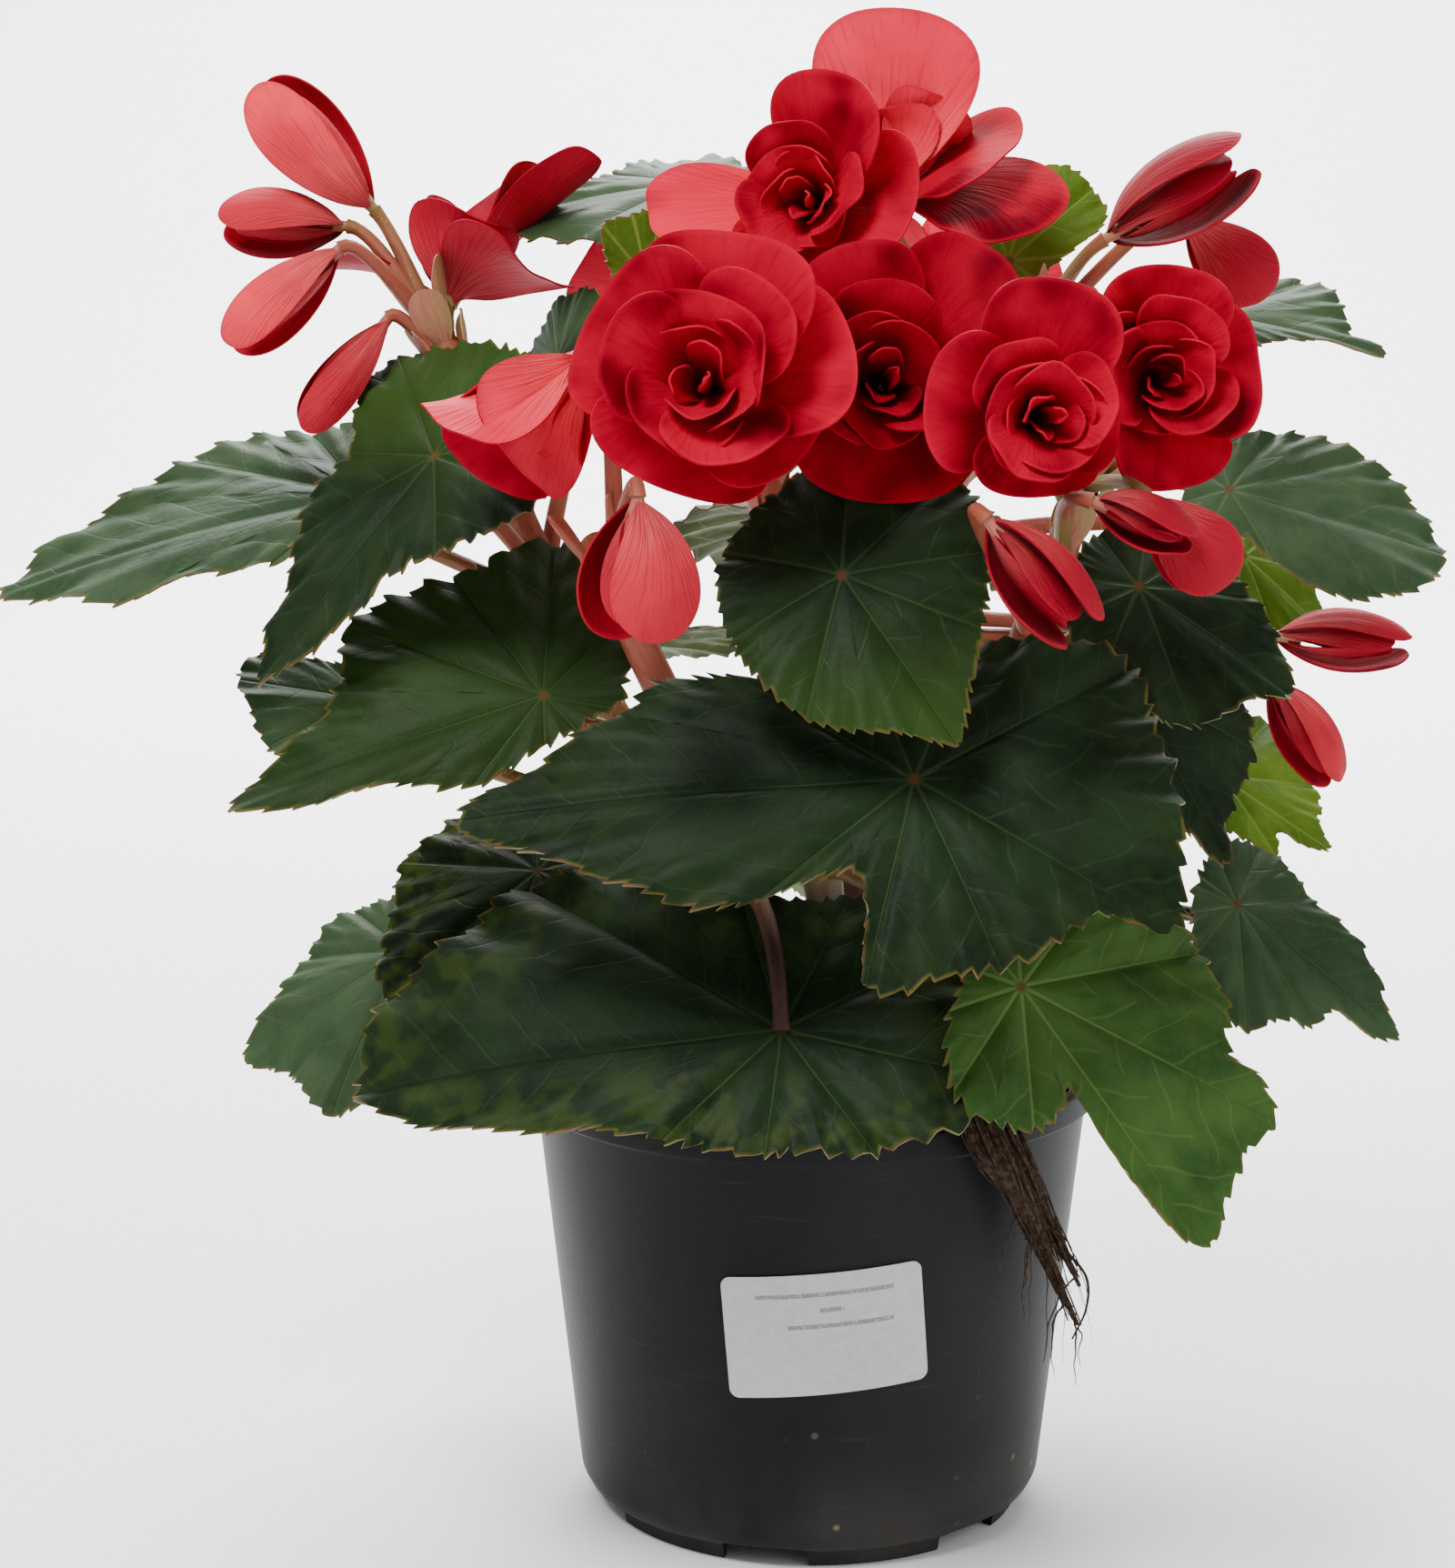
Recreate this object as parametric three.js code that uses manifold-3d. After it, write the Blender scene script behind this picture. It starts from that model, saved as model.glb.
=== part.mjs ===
// A potted begonia: a black nursery pot of soil, five leafy stems, double red blooms and buds.
// Millimetres, +Z up, origin at the middle of the pot's foot, -Y towards the viewer.
import * as THREE from "three";
import { mergeVertices } from "three/addons/utils/BufferGeometryUtils.js";
import Module from "manifold-3d";

const wasm = await Module();
wasm.setup();

// ---------------------------------------------------------------- driving dimensions

const POT_HEIGHT = 102;
const POT_RIM_RADIUS = 65; // a 13 cm pot
const POT_NECK_RADIUS = 63.4; // the wall just below the rim's bead
const POT_HEEL_RADIUS = 52.8; // where the straight wall ends above the foot
const POT_HEEL_HEIGHT = 8;
const POT_FOOT_RADIUS = 47.6;
const POT_WALL = 1.5;
const RIM_BEAD_HEIGHT = 7;
const POT_FLOOR = 6.5; // underside of the pot's floor
const FOOT_NOTCHES = 6;
const NOTCH_HEIGHT = 5.2;
const NOTCH_WIDTH = 19;
const FIRST_NOTCH_DEGREES = -103; // seen from above, counted from +X
const DRAIN_HOLE_RADIUS = 4;
const DRAIN_HOLE_CIRCLE = 30;
const FOOT_PAD_RADIUS = 7; // a pad under the middle of the floor, level with the foot

const POT_SIDES = 24;

const SOIL_TOP = 90;
const SOIL_MOUND = 5;

const LABEL_WIDTH = 44;
const LABEL_HEIGHT = 28;
const LABEL_CENTRE_HEIGHT = 57;
const LABEL_AZIMUTH = -88; // degrees from +X
const LABEL_TILT = 5;
const LABEL_THICKNESS = 0.4;

const STEM_SIDES = 6;
const STEM_STEPS = 5;
const STALK_SIDES = 4;
const PETIOLE_RADII = [2.4, 1.8];
const BLOOM_STALK_RADII = [2.1, 1.6];
const BUD_STALK_RADII = [1.9, 1.4];

const GAP = 0.3; // between pieces that touch
const TOUCH = 0.05; // mm3 inside a neighbour's gap that is let be
const FLAT = 0.06; // faces this close to flat are merged
const LEAF_THICKNESS = 0.8;
const PETAL_THICKNESS = 0.8;
const SMALL_LEAF = 36;
const TOOTH_DEPTH = 2.2;
const RUFFLE = 0.05; // height of the margin's waves, as a share of the leaf's length
const RUFFLE_WAVES = 7;
const CURL_SPAN = 0.6; // a side curls by its full angle over this share of the leaf's length
const BLOOM_DEPTH = 0.45; // from a bloom's middle back to its stalk, as a share of its radius
const GUARD_OFFSET = 1.2; // from the axis of a bloom to the foot of a guard
const SWIRL = 0.2; // how far one side of a petal turns over the next, as a share of its width

// The three petals inside the guards: lengths are shares of the bloom's radius.
const RING = { azimuths: [30, 150, 270], length: 0.86, width: 0.96, lean: [30, 68], offset: 1.8, height: 3.4 };

// The wound-up heart of a bloom, from its innermost end outwards: shares of the bloom's radius.
const HEART = { turn: 500, foot: [0.03, 0.15], lip: [0.05, 0.29], height: [0.66, 0.54], floor: 0.21 };

// A bud's valve: shares of the bud's length and width, and degrees from its axis.
const VALVE = { length: 1.06, width: 1.1, cup: 0.75, lean: [42, -36], offset: 0.5 };

// ---------------------------------------------------------------- colours

const materials = {
  potPlastic: new THREE.MeshStandardMaterial({ color: 0x26272a, roughness: 0.55 }),
  soil: new THREE.MeshStandardMaterial({ color: 0x2e2018, roughness: 1.0 }),
  label: new THREE.MeshStandardMaterial({ color: 0xd9dcdd, roughness: 0.5 }),
  deadRoot: new THREE.MeshStandardMaterial({ color: 0x4a3222, roughness: 0.95 }),
  stem: new THREE.MeshStandardMaterial({ color: 0xa5593f, roughness: 0.5 }),
  dark: new THREE.MeshStandardMaterial({ color: 0x1e3d24, roughness: 0.4 }),
  mid: new THREE.MeshStandardMaterial({ color: 0x456b48, roughness: 0.45 }),
  bright: new THREE.MeshStandardMaterial({ color: 0x3f7a33, roughness: 0.45 }),
  young: new THREE.MeshStandardMaterial({ color: 0x7a8f35, roughness: 0.5 }),
  petal: new THREE.MeshStandardMaterial({ color: 0xc40e22, roughness: 0.6 }),
};

// ---------------------------------------------------------------- helpers

const radians = THREE.MathUtils.degToRad;
const vector = (xyz) => new THREE.Vector3(...xyz);

/** A closed manifold-3d solid from a three.js geometry. */
function solidOf(geometry) {
  const bare = geometry.index ? geometry.toNonIndexed() : geometry.clone();
  bare.deleteAttribute("normal");
  bare.deleteAttribute("uv");
  const merged = mergeVertices(bare, 1e-4);
  const corners = merged.index.array;
  const kept = [];
  for (let i = 0; i < corners.length; i += 3) {
    const [a, b, c] = [corners[i], corners[i + 1], corners[i + 2]];
    if (a !== b && b !== c && c !== a) kept.push(a, b, c);
  }
  return new wasm.Manifold(
    new wasm.Mesh({
      numProp: 3,
      vertProperties: merged.attributes.position.array,
      triVerts: new Uint32Array(kept),
    }),
  );
}

/** A three.js geometry from a manifold-3d solid. */
function geometryOf(solid) {
  const mesh = solid.getMesh();
  const places = new Float32Array(mesh.numVert * 3);
  for (let i = 0; i < mesh.numVert; i++) {
    places.set(mesh.vertProperties.subarray(i * mesh.numProp, i * mesh.numProp + 3), i * 3);
  }
  const geometry = new THREE.BufferGeometry();
  geometry.setAttribute("position", new THREE.BufferAttribute(places, 3));
  geometry.setIndex(new THREE.BufferAttribute(mesh.triVerts, 1));
  geometry.computeVertexNormals();
  return geometry;
}

/** The largest body of a solid: the loose scraps that a cut leaves are dropped. */
function largestBody(solid) {
  const bodies = solid.decompose();
  return bodies.sort((a, b) => b.volume() - a.volume())[0];
}

/** A value between hand-picked [place, value] points, on a smooth curve through them. */
function smoothThrough(points, place) {
  const last = points.length - 1;
  let i = 0;
  while (i < last - 1 && place > points[i + 1][0]) i++;
  const slope = (j) => {
    const [before, after] = [points[Math.max(0, j - 1)], points[Math.min(last, j + 1)]];
    return (after[1] - before[1]) / (after[0] - before[0]);
  };
  const [[x0, y0], [x1, y1]] = [points[i], points[i + 1]];
  const span = x1 - x0;
  const t = (place - x0) / span;
  const [t2, t3] = [t * t, t * t * t];
  return (
    (2 * t3 - 3 * t2 + 1) * y0 +
    (t3 - 2 * t2 + t) * span * slope(i) +
    (3 * t2 - 2 * t3) * y1 +
    (t3 - t2) * span * slope(i + 1)
  );
}

/** A tapering round stalk along a curve, optionally grown outwards and at both ends. */
function stalk(curve, [startRadius, endRadius], sides, steps, grow = 0) {
  const frames = curve.computeFrenetFrames(steps, false);
  const geometry = new THREE.CylinderGeometry(1, 1, 1, sides, steps);
  const place = geometry.attributes.position;
  for (let i = 0; i < place.count; i++) {
    const step = Math.round((0.5 - place.getY(i)) * steps);
    const radius = THREE.MathUtils.lerp(startRadius, endRadius, step / steps) + grow;
    const overrun = (step === steps ? grow : 0) - (step === 0 ? grow : 0);
    const point = curve
      .getPointAt(step / steps)
      .addScaledVector(frames.tangents[step], overrun)
      .addScaledVector(frames.normals[step], place.getX(i) * radius)
      .addScaledVector(frames.binormals[step], place.getZ(i) * radius);
    place.setXYZ(i, ...point);
  }
  return facingOut(solidOf(geometry), geometry);
}

/** The solid of a geometry, with its faces turned round if they point in. */
function facingOut(solid, geometry) {
  if (solid.volume() > 0) return solid;
  const turned = geometry.toNonIndexed();
  const place = turned.attributes.position;
  for (let i = 0; i < place.count; i += 3) {
    const [b, c] = [1, 2].map((k) => new THREE.Vector3().fromBufferAttribute(place, i + k));
    place.setXYZ(i + 1, ...c);
    place.setXYZ(i + 2, ...b);
  }
  return solidOf(turned);
}

/**
 * A thin closed blade. Its middle surface has the given points and triangles, and both faces share
 * them, half the thickness away on each side. The rim is the closed walk of points round its edge.
 */
function blade(points, triangles, rim, thickness) {
  const normals = points.map(() => new THREE.Vector3());
  for (const [a, b, c] of triangles) {
    const ab = points[b].clone().sub(points[a]);
    const face = ab.cross(points[c].clone().sub(points[a]));
    for (const corner of [a, b, c]) normals[corner].add(face);
  }
  const side = (sign) =>
    points.map((p, i) =>
      p.clone().addScaledVector(normals[i].clone().normalize(), (sign * thickness) / 2),
    );
  const corners = [...side(1), ...side(-1)];
  const below = points.length;
  const faces = [];
  for (const [a, b, c] of triangles) faces.push(a, b, c, c + below, b + below, a + below);
  rim.forEach((a, i) => {
    const b = rim[(i + 1) % rim.length];
    faces.push(b, a, a + below, b, a + below, b + below);
  });
  const geometry = new THREE.BufferGeometry().setFromPoints(corners);
  geometry.setIndex(faces);
  return facingOut(solidOf(geometry), geometry);
}

/** A blade over a grid of columns by rows, where surface(u, v) gives a point for u and v from 0 to 1. */
function gridBlade(surface, columns, rows, thickness) {
  const points = [];
  const triangles = [];
  const rim = [];
  const at = (i, j) => i * (rows + 1) + j;
  for (let i = 0; i <= columns; i++) {
    for (let j = 0; j <= rows; j++) points.push(surface(i / columns, j / rows));
  }
  for (let i = 0; i < columns; i++) {
    for (let j = 0; j < rows; j++) {
      const [a, b, c, d] = [at(i, j), at(i + 1, j), at(i + 1, j + 1), at(i, j + 1)];
      triangles.push([a, b, c], [a, c, d]);
    }
  }
  for (let i = 0; i < columns; i++) rim.push(at(i, 0));
  for (let j = 0; j < rows; j++) rim.push(at(columns, j));
  for (let i = columns; i > 0; i--) rim.push(at(i, rows));
  for (let j = rows; j > 0; j--) rim.push(at(0, j));
  return blade(points, triangles, rim, thickness);
}

/** Radius of the pot's outer wall at a height. */
function potRadius(height) {
  const rise = (height - POT_HEEL_HEIGHT) / (POT_HEIGHT - POT_HEEL_HEIGHT);
  return THREE.MathUtils.lerp(POT_HEEL_RADIUS, POT_NECK_RADIUS, rise);
}

// ---------------------------------------------------------------- pot, soil, label and dead roots

function makePot() {
  const inside = (height) => potRadius(height) - POT_WALL;
  const floorTop = POT_FLOOR + POT_WALL;
  const footInside = POT_FOOT_RADIUS - 2.4;
  const beadFoot = POT_HEIGHT - RIM_BEAD_HEIGHT;
  const profile = [
    [0, 0],
    [FOOT_PAD_RADIUS, 0],
    [FOOT_PAD_RADIUS, POT_FLOOR],
    [footInside, POT_FLOOR],
    [footInside, 0],
    [POT_FOOT_RADIUS, 0],
    [POT_FOOT_RADIUS + 0.6, 3.2],
    [POT_HEEL_RADIUS - 1.6, 5.0],
    [POT_HEEL_RADIUS, POT_HEEL_HEIGHT],
    [potRadius(beadFoot), beadFoot],
    [POT_RIM_RADIUS, beadFoot + 0.8],
    [POT_RIM_RADIUS, POT_HEIGHT],
    [inside(POT_HEIGHT), POT_HEIGHT],
    [inside(POT_HEEL_HEIGHT + 1), POT_HEEL_HEIGHT + 1],
    [inside(POT_HEEL_HEIGHT) - 2, floorTop],
    [0, floorTop],
  ].map(([radius, height]) => new THREE.Vector2(radius, height));
  const turned = new THREE.LatheGeometry(profile, POT_SIDES).rotateX(Math.PI / 2);
  let pot = facingOut(solidOf(turned), turned);
  for (let i = 0; i < FOOT_NOTCHES; i++) {
    const angle = radians(FIRST_NOTCH_DEGREES + (360 / FOOT_NOTCHES) * i);
    const notch = new THREE.BoxGeometry(14, NOTCH_WIDTH, 2 * NOTCH_HEIGHT);
    notch.translate(POT_FOOT_RADIUS + 1, 0, 0).rotateZ(angle);
    const hole = new THREE.CylinderGeometry(DRAIN_HOLE_RADIUS, DRAIN_HOLE_RADIUS, 8, 8);
    hole.rotateX(Math.PI / 2).translate(DRAIN_HOLE_CIRCLE, 0, floorTop - 1).rotateZ(angle);
    pot = pot.subtract(solidOf(notch)).subtract(solidOf(hole));
  }
  return pot;
}

function makeSoil() {
  const side = (height) => potRadius(height) - POT_WALL - GAP;
  const bottom = POT_FLOOR + POT_WALL + GAP;
  const profile = [
    [0, bottom],
    [side(POT_HEEL_HEIGHT) - 2.4, bottom],
    [side(POT_HEEL_HEIGHT + 2) - 0.2, POT_HEEL_HEIGHT + 2],
    [side(SOIL_TOP - 2), SOIL_TOP - 2],
    [side(SOIL_TOP) - 5, SOIL_TOP + 0.4 * SOIL_MOUND],
    [24, SOIL_TOP + 0.8 * SOIL_MOUND],
    [0, SOIL_TOP + SOIL_MOUND],
  ].map(([radius, height]) => new THREE.Vector2(radius, height));
  const turned = new THREE.LatheGeometry(profile, POT_SIDES).rotateX(Math.PI / 2);
  return facingOut(solidOf(turned), turned);
}

/** The label lies on the cone of the pot's wall, so its corners are found on the unrolled wall. */
function makeLabel() {
  const turn = radians(LABEL_TILT);
  const stand = GAP + LABEL_THICKNESS / 2;
  const surface = (u, v) => {
    const [across, up] = [(u - 0.5) * LABEL_WIDTH, (v - 0.5) * LABEL_HEIGHT];
    const height = LABEL_CENTRE_HEIGHT + across * Math.sin(turn) + up * Math.cos(turn);
    const radius = potRadius(height) + stand;
    const arc = across * Math.cos(turn) - up * Math.sin(turn);
    const angle = radians(LABEL_AZIMUTH) + arc / radius;
    return new THREE.Vector3(radius * Math.cos(angle), radius * Math.sin(angle), height);
  };
  return gridBlade(surface, 6, 1, LABEL_THICKNESS);
}

// Each strand rises from the soil, crosses the rim and drifts sideways as it hangs by the wall.
const rootStrands = [
  { azimuth: -60, drift: 25, endHeight: 54, radius: 3.4 },
  { azimuth: -56, drift: 22, endHeight: 62, radius: 2.8 },
  { azimuth: -63, drift: 22, endHeight: 68, radius: 2.2 },
];

/** The path of a dead root over the rim and down the pot's wall. */
function strandCurve({ azimuth, drift, endHeight, radius }) {
  const angle = radians(azimuth);
  const at = (distance, height, shift) =>
    new THREE.Vector3(
      distance * Math.cos(angle) - shift * Math.sin(angle),
      distance * Math.sin(angle) + shift * Math.cos(angle),
      height,
    );
  const clear = radius + 2.2;
  const rim = POT_RIM_RADIUS + clear;
  const middle = (POT_HEIGHT + endHeight) / 2;
  return new THREE.CatmullRomCurve3([
    at(44, SOIL_TOP - 4, 0),
    at(52, SOIL_TOP + 8, 0),
    at(POT_NECK_RADIUS, POT_HEIGHT + clear + 1, 1),
    at(rim + 0.6, POT_HEIGHT - 4, 3),
    at(potRadius(middle) + clear + 0.5, middle, 3 + drift / 2),
    at(potRadius(endHeight) + clear + 2.5, endHeight, 3 + drift),
  ]);
}

function makeDeadRoots(grow = 0) {
  const strands = rootStrands.map((strand) =>
    stalk(strandCurve(strand), [strand.radius, 0.8], 5, 6, grow),
  );
  return wasm.Manifold.union(strands);
}

// ---------------------------------------------------------------- stems

// Main stems as [x, y, z] points from the crown up, with the radius at foot and top.
const stems = {
  stem_left: {
    path: [[-13, -3, 80], [-24, -4, 130], [-48, -6, 190], [-70, -6, 238], [-83, -4, 269]],
    radii: [4.6, 3.4],
  },
  stem_front: {
    path: [[-5, -14, 80], [-10, -34, 130], [-24, -52, 176], [-36, -62, 204], [-44, -66, 223]],
    radii: [5.2, 3.6],
  },
  stem_centre: {
    path: [[5, -8, 80], [4, -30, 132], [-4, -44, 182], [-10, -46, 224], [-8, -40, 262]],
    radii: [5.0, 3.2],
  },
  stem_right: {
    path: [[14, -3, 80], [24, -24, 132], [36, -44, 180], [46, -54, 214], [56, -52, 240]],
    radii: [4.8, 3.2],
  },
  stem_back: {
    path: [[2, 12, 80], [10, 24, 132], [20, 26, 190], [34, 18, 240], [50, 4, 268]],
    radii: [4.8, 3.0],
  },
};

function stemCurve(name) {
  return new THREE.CatmullRomCurve3(stems[name].path.map(vector));
}

// ---------------------------------------------------------------- leaves

// A begonia's blade is a lopsided heart with shallow lobes and a notch at the stalk. An outline
// goes round it as [degrees from the tip, share of the length to the tip].
const lopsidedHeart = [
  [-180, 0.1], [-166, 0.46], [-136, 0.57], [-100, 0.58], [-68, 0.64], [-38, 0.74], [-15, 0.9],
  [0, 1.0], [18, 0.92], [44, 0.79], [76, 0.76], [108, 0.76], [142, 0.67], [167, 0.5],
  [180, 0.1],
];
const lobedHeart = [
  [-180, 0.1], [-167, 0.44], [-144, 0.54], [-118, 0.48], [-94, 0.58], [-68, 0.52], [-44, 0.66],
  [-20, 0.76], [0, 1.0], [20, 0.78], [44, 0.72], [66, 0.62], [92, 0.72], [124, 0.6],
  [148, 0.62], [167, 0.46], [180, 0.1],
];

const leaves = [
  {
    name: "leaf_front_large", stem: "stem_front", from: 0.55, tone: "dark",
    knot: [18, -92, 183], tip: [-74, -82, 174], face: [0, -0.75, 0.66], bend: 14, curl: [22, 8],
    outline: [
      [-180, 0.56], [-164, 0.55], [-147, 0.58], [-130, 0.49], [-106, 0.35], [-80, 0.3],
      [-54, 0.35], [-38, 0.46], [-29, 0.59], [-20, 0.66], [-10, 0.8], [0, 1.0], [6, 0.88],
      [13, 0.75], [21, 0.64], [33, 0.52], [42, 0.36], [58, 0.25], [70, 0.32], [76, 0.48],
      [96, 0.45], [120, 0.47], [143, 0.5], [148, 0.64], [162, 0.59], [180, 0.56],
    ],
  },
  {
    name: "leaf_centre", stem: "stem_centre", from: 0.72, tone: "dark",
    knot: [3.5, -87, 223], tip: [25.5, -103, 192], face: [0, -0.85, 0.5], bend: 16, curl: [10, 10],
    outline: [
      [-180, 0.58], [-162, 0.57], [-140, 0.6], [-116, 0.6], [-92, 0.62], [-66, 0.67], [-40, 0.76],
      [-20, 0.82], [-10, 0.88], [0, 1.0], [14, 0.84], [36, 0.72], [64, 0.72], [88, 0.78],
      [106, 0.82], [124, 0.82], [144, 0.78], [163, 0.67], [180, 0.58],
    ],
  },
  {
    name: "leaf_left_middle", stem: "stem_front", from: 0.66, tone: "dark",
    knot: [-57, -60, 195], tip: [-122, -66, 173], face: [-0.2, -0.75, 0.6], bend: 14, curl: [14, 10],
    outline: [
      [-180, 0.26], [-164, 0.34], [-140, 0.42], [-124, 0.52], [-108, 0.63], [-84, 0.55],
      [-62, 0.62], [-44, 0.69], [-28, 0.63], [-16, 0.68], [-7, 0.84], [0, 1.0], [6, 0.84],
      [11, 0.64], [18, 0.5], [28, 0.43], [40, 0.35], [60, 0.22], [84, 0.16], [134, 0.17],
      [162, 0.24], [180, 0.26],
    ],
  },
  {
    name: "leaf_left_folded", stem: "stem_left", from: 0.6, tone: "dark",
    knot: [-80, -44, 243], tip: [-115, -58, 196], face: [-0.55, -0.6, 0.6], bend: 18, curl: [10, 8],
    outline: [
      [-180, 0.5], [-158, 0.55], [-134, 0.65], [-114, 0.75], [-100, 0.68], [-84, 0.51],
      [-62, 0.47], [-48, 0.55], [-34, 0.62], [-18, 0.68], [-8, 0.84], [0, 1.0], [8, 0.82],
      [16, 0.68], [24, 0.52], [46, 0.46], [70, 0.48], [98, 0.55], [118, 0.47], [160, 0.43],
      [180, 0.5],
    ],
  },
  {
    name: "leaf_left_far", stem: "stem_left", from: 0.62, tone: "mid",
    knot: [-100, 0, 231], tip: [-179, -6, 208], face: [-0.1, -0.5, 0.86], bend: 22, curl: [10, 8],
    outline: [
      [-180, 0.14], [-150, 0.2], [-120, 0.27], [-96, 0.36], [-74, 0.4], [-52, 0.5], [-36, 0.58],
      [-22, 0.72], [-12, 0.9], [0, 1.0], [6, 0.88], [12, 0.8], [18, 0.7], [24, 0.5], [44, 0.3],
      [72, 0.23], [104, 0.2], [140, 0.16], [180, 0.14],
    ],
  },
  {
    name: "leaf_left_small", stem: "stem_left", from: 0.34, tone: "mid",
    knot: [-100, 12, 183], tip: [-130, 10, 188], face: [-0.2, -0.6, 0.75], bend: 10, curl: [8, 8],
    outline: [
      [-180, 0.3], [-142, 0.34], [-90, 0.36], [-54, 0.4], [-32, 0.62], [-20, 0.96], [0, 1.0],
      [14, 0.92], [34, 0.9], [52, 0.86], [74, 0.7], [104, 0.56], [146, 0.4], [180, 0.3],
    ],
  },
  {
    name: "leaf_high_left", stem: "stem_centre", from: 0.86, tone: "mid",
    knot: [-28, 32, 299], tip: [-70, 25, 292], face: [-0.05, -0.3, 0.95], bend: 16, curl: [12, 10],
    outline: [
      [-180, 0.2], [-150, 0.5], [-122, 0.72], [-98, 0.9], [-78, 0.6], [-50, 0.52], [-20, 0.56],
      [-6, 0.74], [0, 0.94], [14, 1.0], [28, 0.98], [40, 0.9], [56, 0.7], [82, 0.5],
      [120, 0.34], [180, 0.2],
    ],
  },
  {
    name: "leaf_young", stem: "stem_centre", from: 0.82, tone: "young",
    knot: [-37, -6, 279], tip: [-46, -12, 290], face: [0, -0.85, 0.5], bend: 10, curl: [8, 8],
    outline: [
      [-180, 0.3], [-146, 0.4], [-112, 0.5], [-90, 0.86], [-64, 0.98], [-28, 0.9], [0, 1.0],
      [20, 0.74], [48, 0.5], [100, 0.4], [180, 0.3],
    ],
  },
  {
    name: "leaf_behind_left", stem: "stem_left", from: 0.7, tone: "mid",
    knot: [-57, 17, 260], tip: [-48, 12, 275], face: [0, -0.5, 0.87], bend: 10, curl: [8, 8],
    outline: [
      [-180, 0.3], [-148, 0.46], [-90, 0.52], [-50, 0.56], [-20, 0.8], [0, 1.0], [34, 0.88],
      [62, 0.94], [84, 0.96], [108, 1.06], [138, 0.76], [180, 0.3],
    ],
  },
  {
    name: "leaf_high_right", stem: "stem_back", from: 0.84, tone: "young",
    knot: [44, 14, 282], tip: [62, 12, 298], face: [0.1, -0.75, 0.6], bend: 10, curl: [8, 8],
    outline: [
      [-180, 0.2], [-150, 0.26], [-64, 0.34], [-34, 0.6], [-18, 0.98], [0, 1.0], [16, 1.02],
      [34, 0.96], [56, 0.88], [86, 0.76], [128, 0.52], [180, 0.2],
    ],
  },
  {
    name: "leaf_right_high", stem: "stem_back", from: 0.76, tone: "mid",
    knot: [91, 12, 270], tip: [127, 6, 262], face: [0.1, -0.5, 0.85], bend: 14, curl: [8, 8],
    outline: [
      [-180, 0.28], [-122, 0.4], [-92, 0.46], [-56, 0.36], [-26, 0.4], [-8, 0.62], [0, 1.0],
      [10, 0.8], [32, 0.8], [54, 0.82], [72, 0.64], [92, 0.48], [130, 0.36], [180, 0.28],
    ],
  },
  {
    name: "leaf_right_big", stem: "stem_back", from: 0.68, tone: "mid",
    knot: [91, -8, 233], tip: [137, -17, 219], face: [0.25, -0.7, 0.65], bend: 16, curl: [12, 12],
    outline: [
      [-180, 0.2], [-146, 0.22], [-96, 0.22], [-62, 0.28], [-46, 0.48], [-36, 0.7], [-24, 0.86],
      [-12, 0.98], [0, 1.0], [10, 0.92], [24, 0.8], [42, 0.68], [62, 0.56], [86, 0.42],
      [112, 0.32], [146, 0.24], [180, 0.2],
    ],
  },
  {
    name: "leaf_right_pale", stem: "stem_back", from: 0.5, tone: "young",
    knot: [98, 16, 216], tip: [117, 16, 199], face: [0.3, -0.6, 0.7], bend: 10, curl: [8, 8],
    outline: [
      [-180, 0.28], [-146, 0.36], [-102, 0.6], [-74, 0.78], [-44, 0.8], [-16, 0.9], [0, 1.0],
      [16, 0.88], [34, 0.68], [60, 0.46], [110, 0.34], [180, 0.28],
    ],
  },
  {
    name: "leaf_right_dark", stem: "stem_right", from: 0.7, tone: "dark",
    knot: [66, -54, 217], tip: [97, -64, 196], face: [0.35, -0.75, 0.5], bend: 12, curl: [10, 10],
    outline: [
      [-180, 0.38], [-126, 0.46], [-88, 0.58], [-62, 0.74], [-40, 0.86], [-12, 0.88], [0, 1.0],
      [18, 0.8], [40, 0.62], [84, 0.48], [126, 0.44], [180, 0.38],
    ],
  },
  {
    name: "leaf_right_shadow", stem: "stem_right", from: 0.5, tone: "dark",
    knot: [65, -42, 197], tip: [86, -48, 157], face: [0.4, -0.75, 0.5], bend: 12, curl: [10, 10],
    outline: [
      [-180, 0.28], [-150, 0.3], [-90, 0.42], [-54, 0.5], [-24, 0.62], [-8, 0.82], [0, 1.0],
      [8, 0.86], [20, 0.8], [34, 0.8], [46, 0.74], [60, 0.68], [92, 0.54], [130, 0.32],
      [180, 0.28],
    ],
  },
  {
    name: "leaf_right_yellow", stem: "stem_back", from: 0.38, tone: "young",
    knot: [95, 20, 164], tip: [121, 20, 146], face: [0.35, -0.6, 0.7], bend: 10, curl: [8, 8],
    outline: [
      [-180, 0.26], [-140, 0.28], [-98, 0.32], [-56, 0.5], [-30, 0.7], [-14, 0.58], [0, 0.96],
      [12, 0.82], [26, 0.9], [54, 0.96], [78, 1.0], [96, 0.84], [120, 0.6], [180, 0.26],
    ],
  },
  {
    name: "leaf_right_low", stem: "stem_right", from: 0.42, tone: "mid",
    knot: [93, -22, 143], tip: [129, -28, 115], face: [0.3, -0.7, 0.65], bend: 14, curl: [10, 10],
    outline: [
      [-180, 0.22], [-132, 0.24], [-94, 0.38], [-74, 0.54], [-56, 0.66], [-42, 0.61],
      [-26, 0.69], [-14, 0.68], [-7, 0.88], [0, 1.0], [8, 0.84], [20, 0.68], [44, 0.46],
      [72, 0.4], [98, 0.42], [128, 0.36], [156, 0.26], [180, 0.22],
    ],
  },
  {
    name: "leaf_front_right", stem: "stem_centre", from: 0.42, tone: "bright",
    knot: [40, -88, 140], tip: [76, -98, 89], face: [0.15, -0.85, 0.5], bend: 16, curl: [8, 8],
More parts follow.
